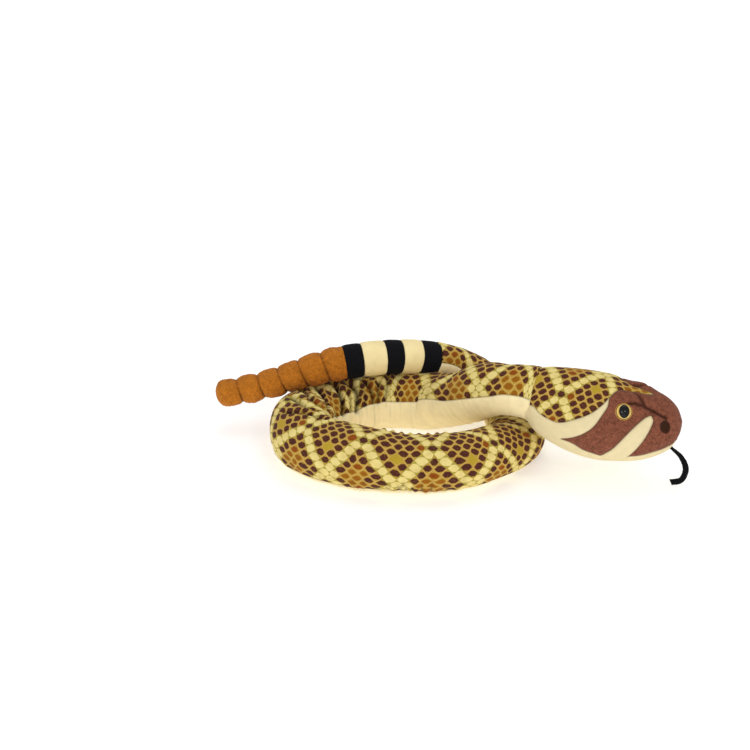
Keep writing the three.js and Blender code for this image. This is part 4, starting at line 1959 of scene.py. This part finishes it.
@dataclass
class Studio:
    """The floor, the lights and the camera."""

    camera_at: tuple[float, float, float] = (0.00371, -1.95480, 1.06784)
    camera_azimuth: float = 2.540
    camera_down: float = 26.384
    lens: float = 90.46
    sensor: float = 36.0
    far_clip: float = 50.0
    floor_size: float = 14.0
    floor_glow: float = 0.36
    floor_grey: float = 0.88
    sky_strength: float = 0.68
    lamps: tuple[Lamp, ...] = (
        Lamp("key", (-0.9, -2.2, 2.0), 1.6, 3.0),
        Lamp("fill", (1.8, -1.6, 1.2), 1.4, 1.0),
        Lamp("top", (0.2, 0.6, 2.4), 1.8, 8.0),
        Lamp("low", (0.2, -2.4, 0.45), 1.2, 2.5),
        Lamp("catch_left", (-0.5, -2.6, 1.6), 0.36, 7.0),
        Lamp("catch_right", (0.9, -2.2, 1.9), 0.36, 5.5),
    )

    def place_camera(self) -> None:
        """Sets the camera at the photo's viewing angle and framing."""
        data = bpy.data.cameras.new("camera")
        data.lens = self.lens
        data.sensor_width = self.sensor
        data.clip_end = self.far_clip
        camera = bpy.data.objects.new("camera", data)
        camera.location = self.camera_at
        tilt, azimuth = math.radians(90.0 - self.camera_down), math.radians(self.camera_azimuth)
        camera.rotation_euler = (tilt, 0.0, azimuth)
        bpy.context.scene.collection.objects.link(camera)
        bpy.context.scene.camera = camera

    def lay_floor(self) -> None:
        """Lays a plain pale floor, faintly lit from below as a light table is, that isn't part of the toy."""
        half = self.floor_size / 2
        corners = [(-half, -half, 0), (half, -half, 0), (half, half, 0), (-half, half, 0)]
        mesh = bpy.data.meshes.new("floor")
        mesh.from_pydata(corners, [], [(0, 1, 2, 3)])
        floor = bpy.data.objects.new("floor", mesh)
        bpy.context.scene.collection.objects.link(floor)
        graph = Graph("pale_floor")
        level = 0.985 + graph.noise(30.0) * 0.03
        finish = graph.finish(
            {
                "Base Color": graph.shaded((self.floor_grey,) * 3, level),
                "Roughness": 0.85,
                "Emission Color": (1.0, 1.0, 1.0),
                "Emission Strength": self.floor_glow,
            }
        )
        mesh.materials.append(finish)

    def light(self) -> None:
        """Lights the set: a soft sky, a broad key, a fill, a top and a low front light, and two small ones.

        The small ones make the highlights in the eyes.
        """
        world = bpy.data.worlds.new("soft_sky")
        world.use_nodes = True
        sky = world.node_tree.nodes["Background"]
        sky.inputs["Color"].default_value = (1.0, 1.0, 1.0, 1.0)
        sky.inputs["Strength"].default_value = self.sky_strength
        bpy.context.scene.world = world
        for lamp in self.lamps:
            lamp.hang()


# The whole toy


def main() -> None:
    """Builds the camera, the toy and its set."""
    logging.basicConfig(level=logging.INFO, format="%(name)s: %(message)s")
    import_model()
    studio = Studio()
    studio.place_camera()
    bpy.context.scene.view_settings.view_transform = "Standard"

    black = PlainPlush("black_plush", linear(20, 20, 23), Pile(mottle=0.2), sheen=0.02).material()
    cream = PlainPlush("cream_plush", linear(253, 233, 174), Pile(mottle=0.14)).material()
    felt = PlainPlush("black_felt", linear(18, 18, 20), Pile(grain=2200.0, mottle=0.3), sheen=0.02).material()
    fleece_pile = Pile(grain=560.0, depth=1.3 * MM, mottle=0.5, brushing=160.0, brush=0.35)
    fleece = PlainPlush("rattle_fleece", linear(188, 114, 34), fleece_pile, fold_shade=0.85).material()

    line = MiddleLine()
    sizes = TubeSizes()
    shape = HeadShape(line)
    scales = ScalePrint()
    Body(line, sizes, scales).build()
    Head(shape, scales).build()
    eye_finish = EyePlastic().material()
    for side in Side:
        Eye(shape, side).build(eye_finish)
    Tongue().build(felt)
    TailBands(line, sizes).build(black, cream)
    Rattle(line, sizes).build(fleece)
    studio.lay_floor()
    studio.light()


if __name__ == "__main__":
    main()
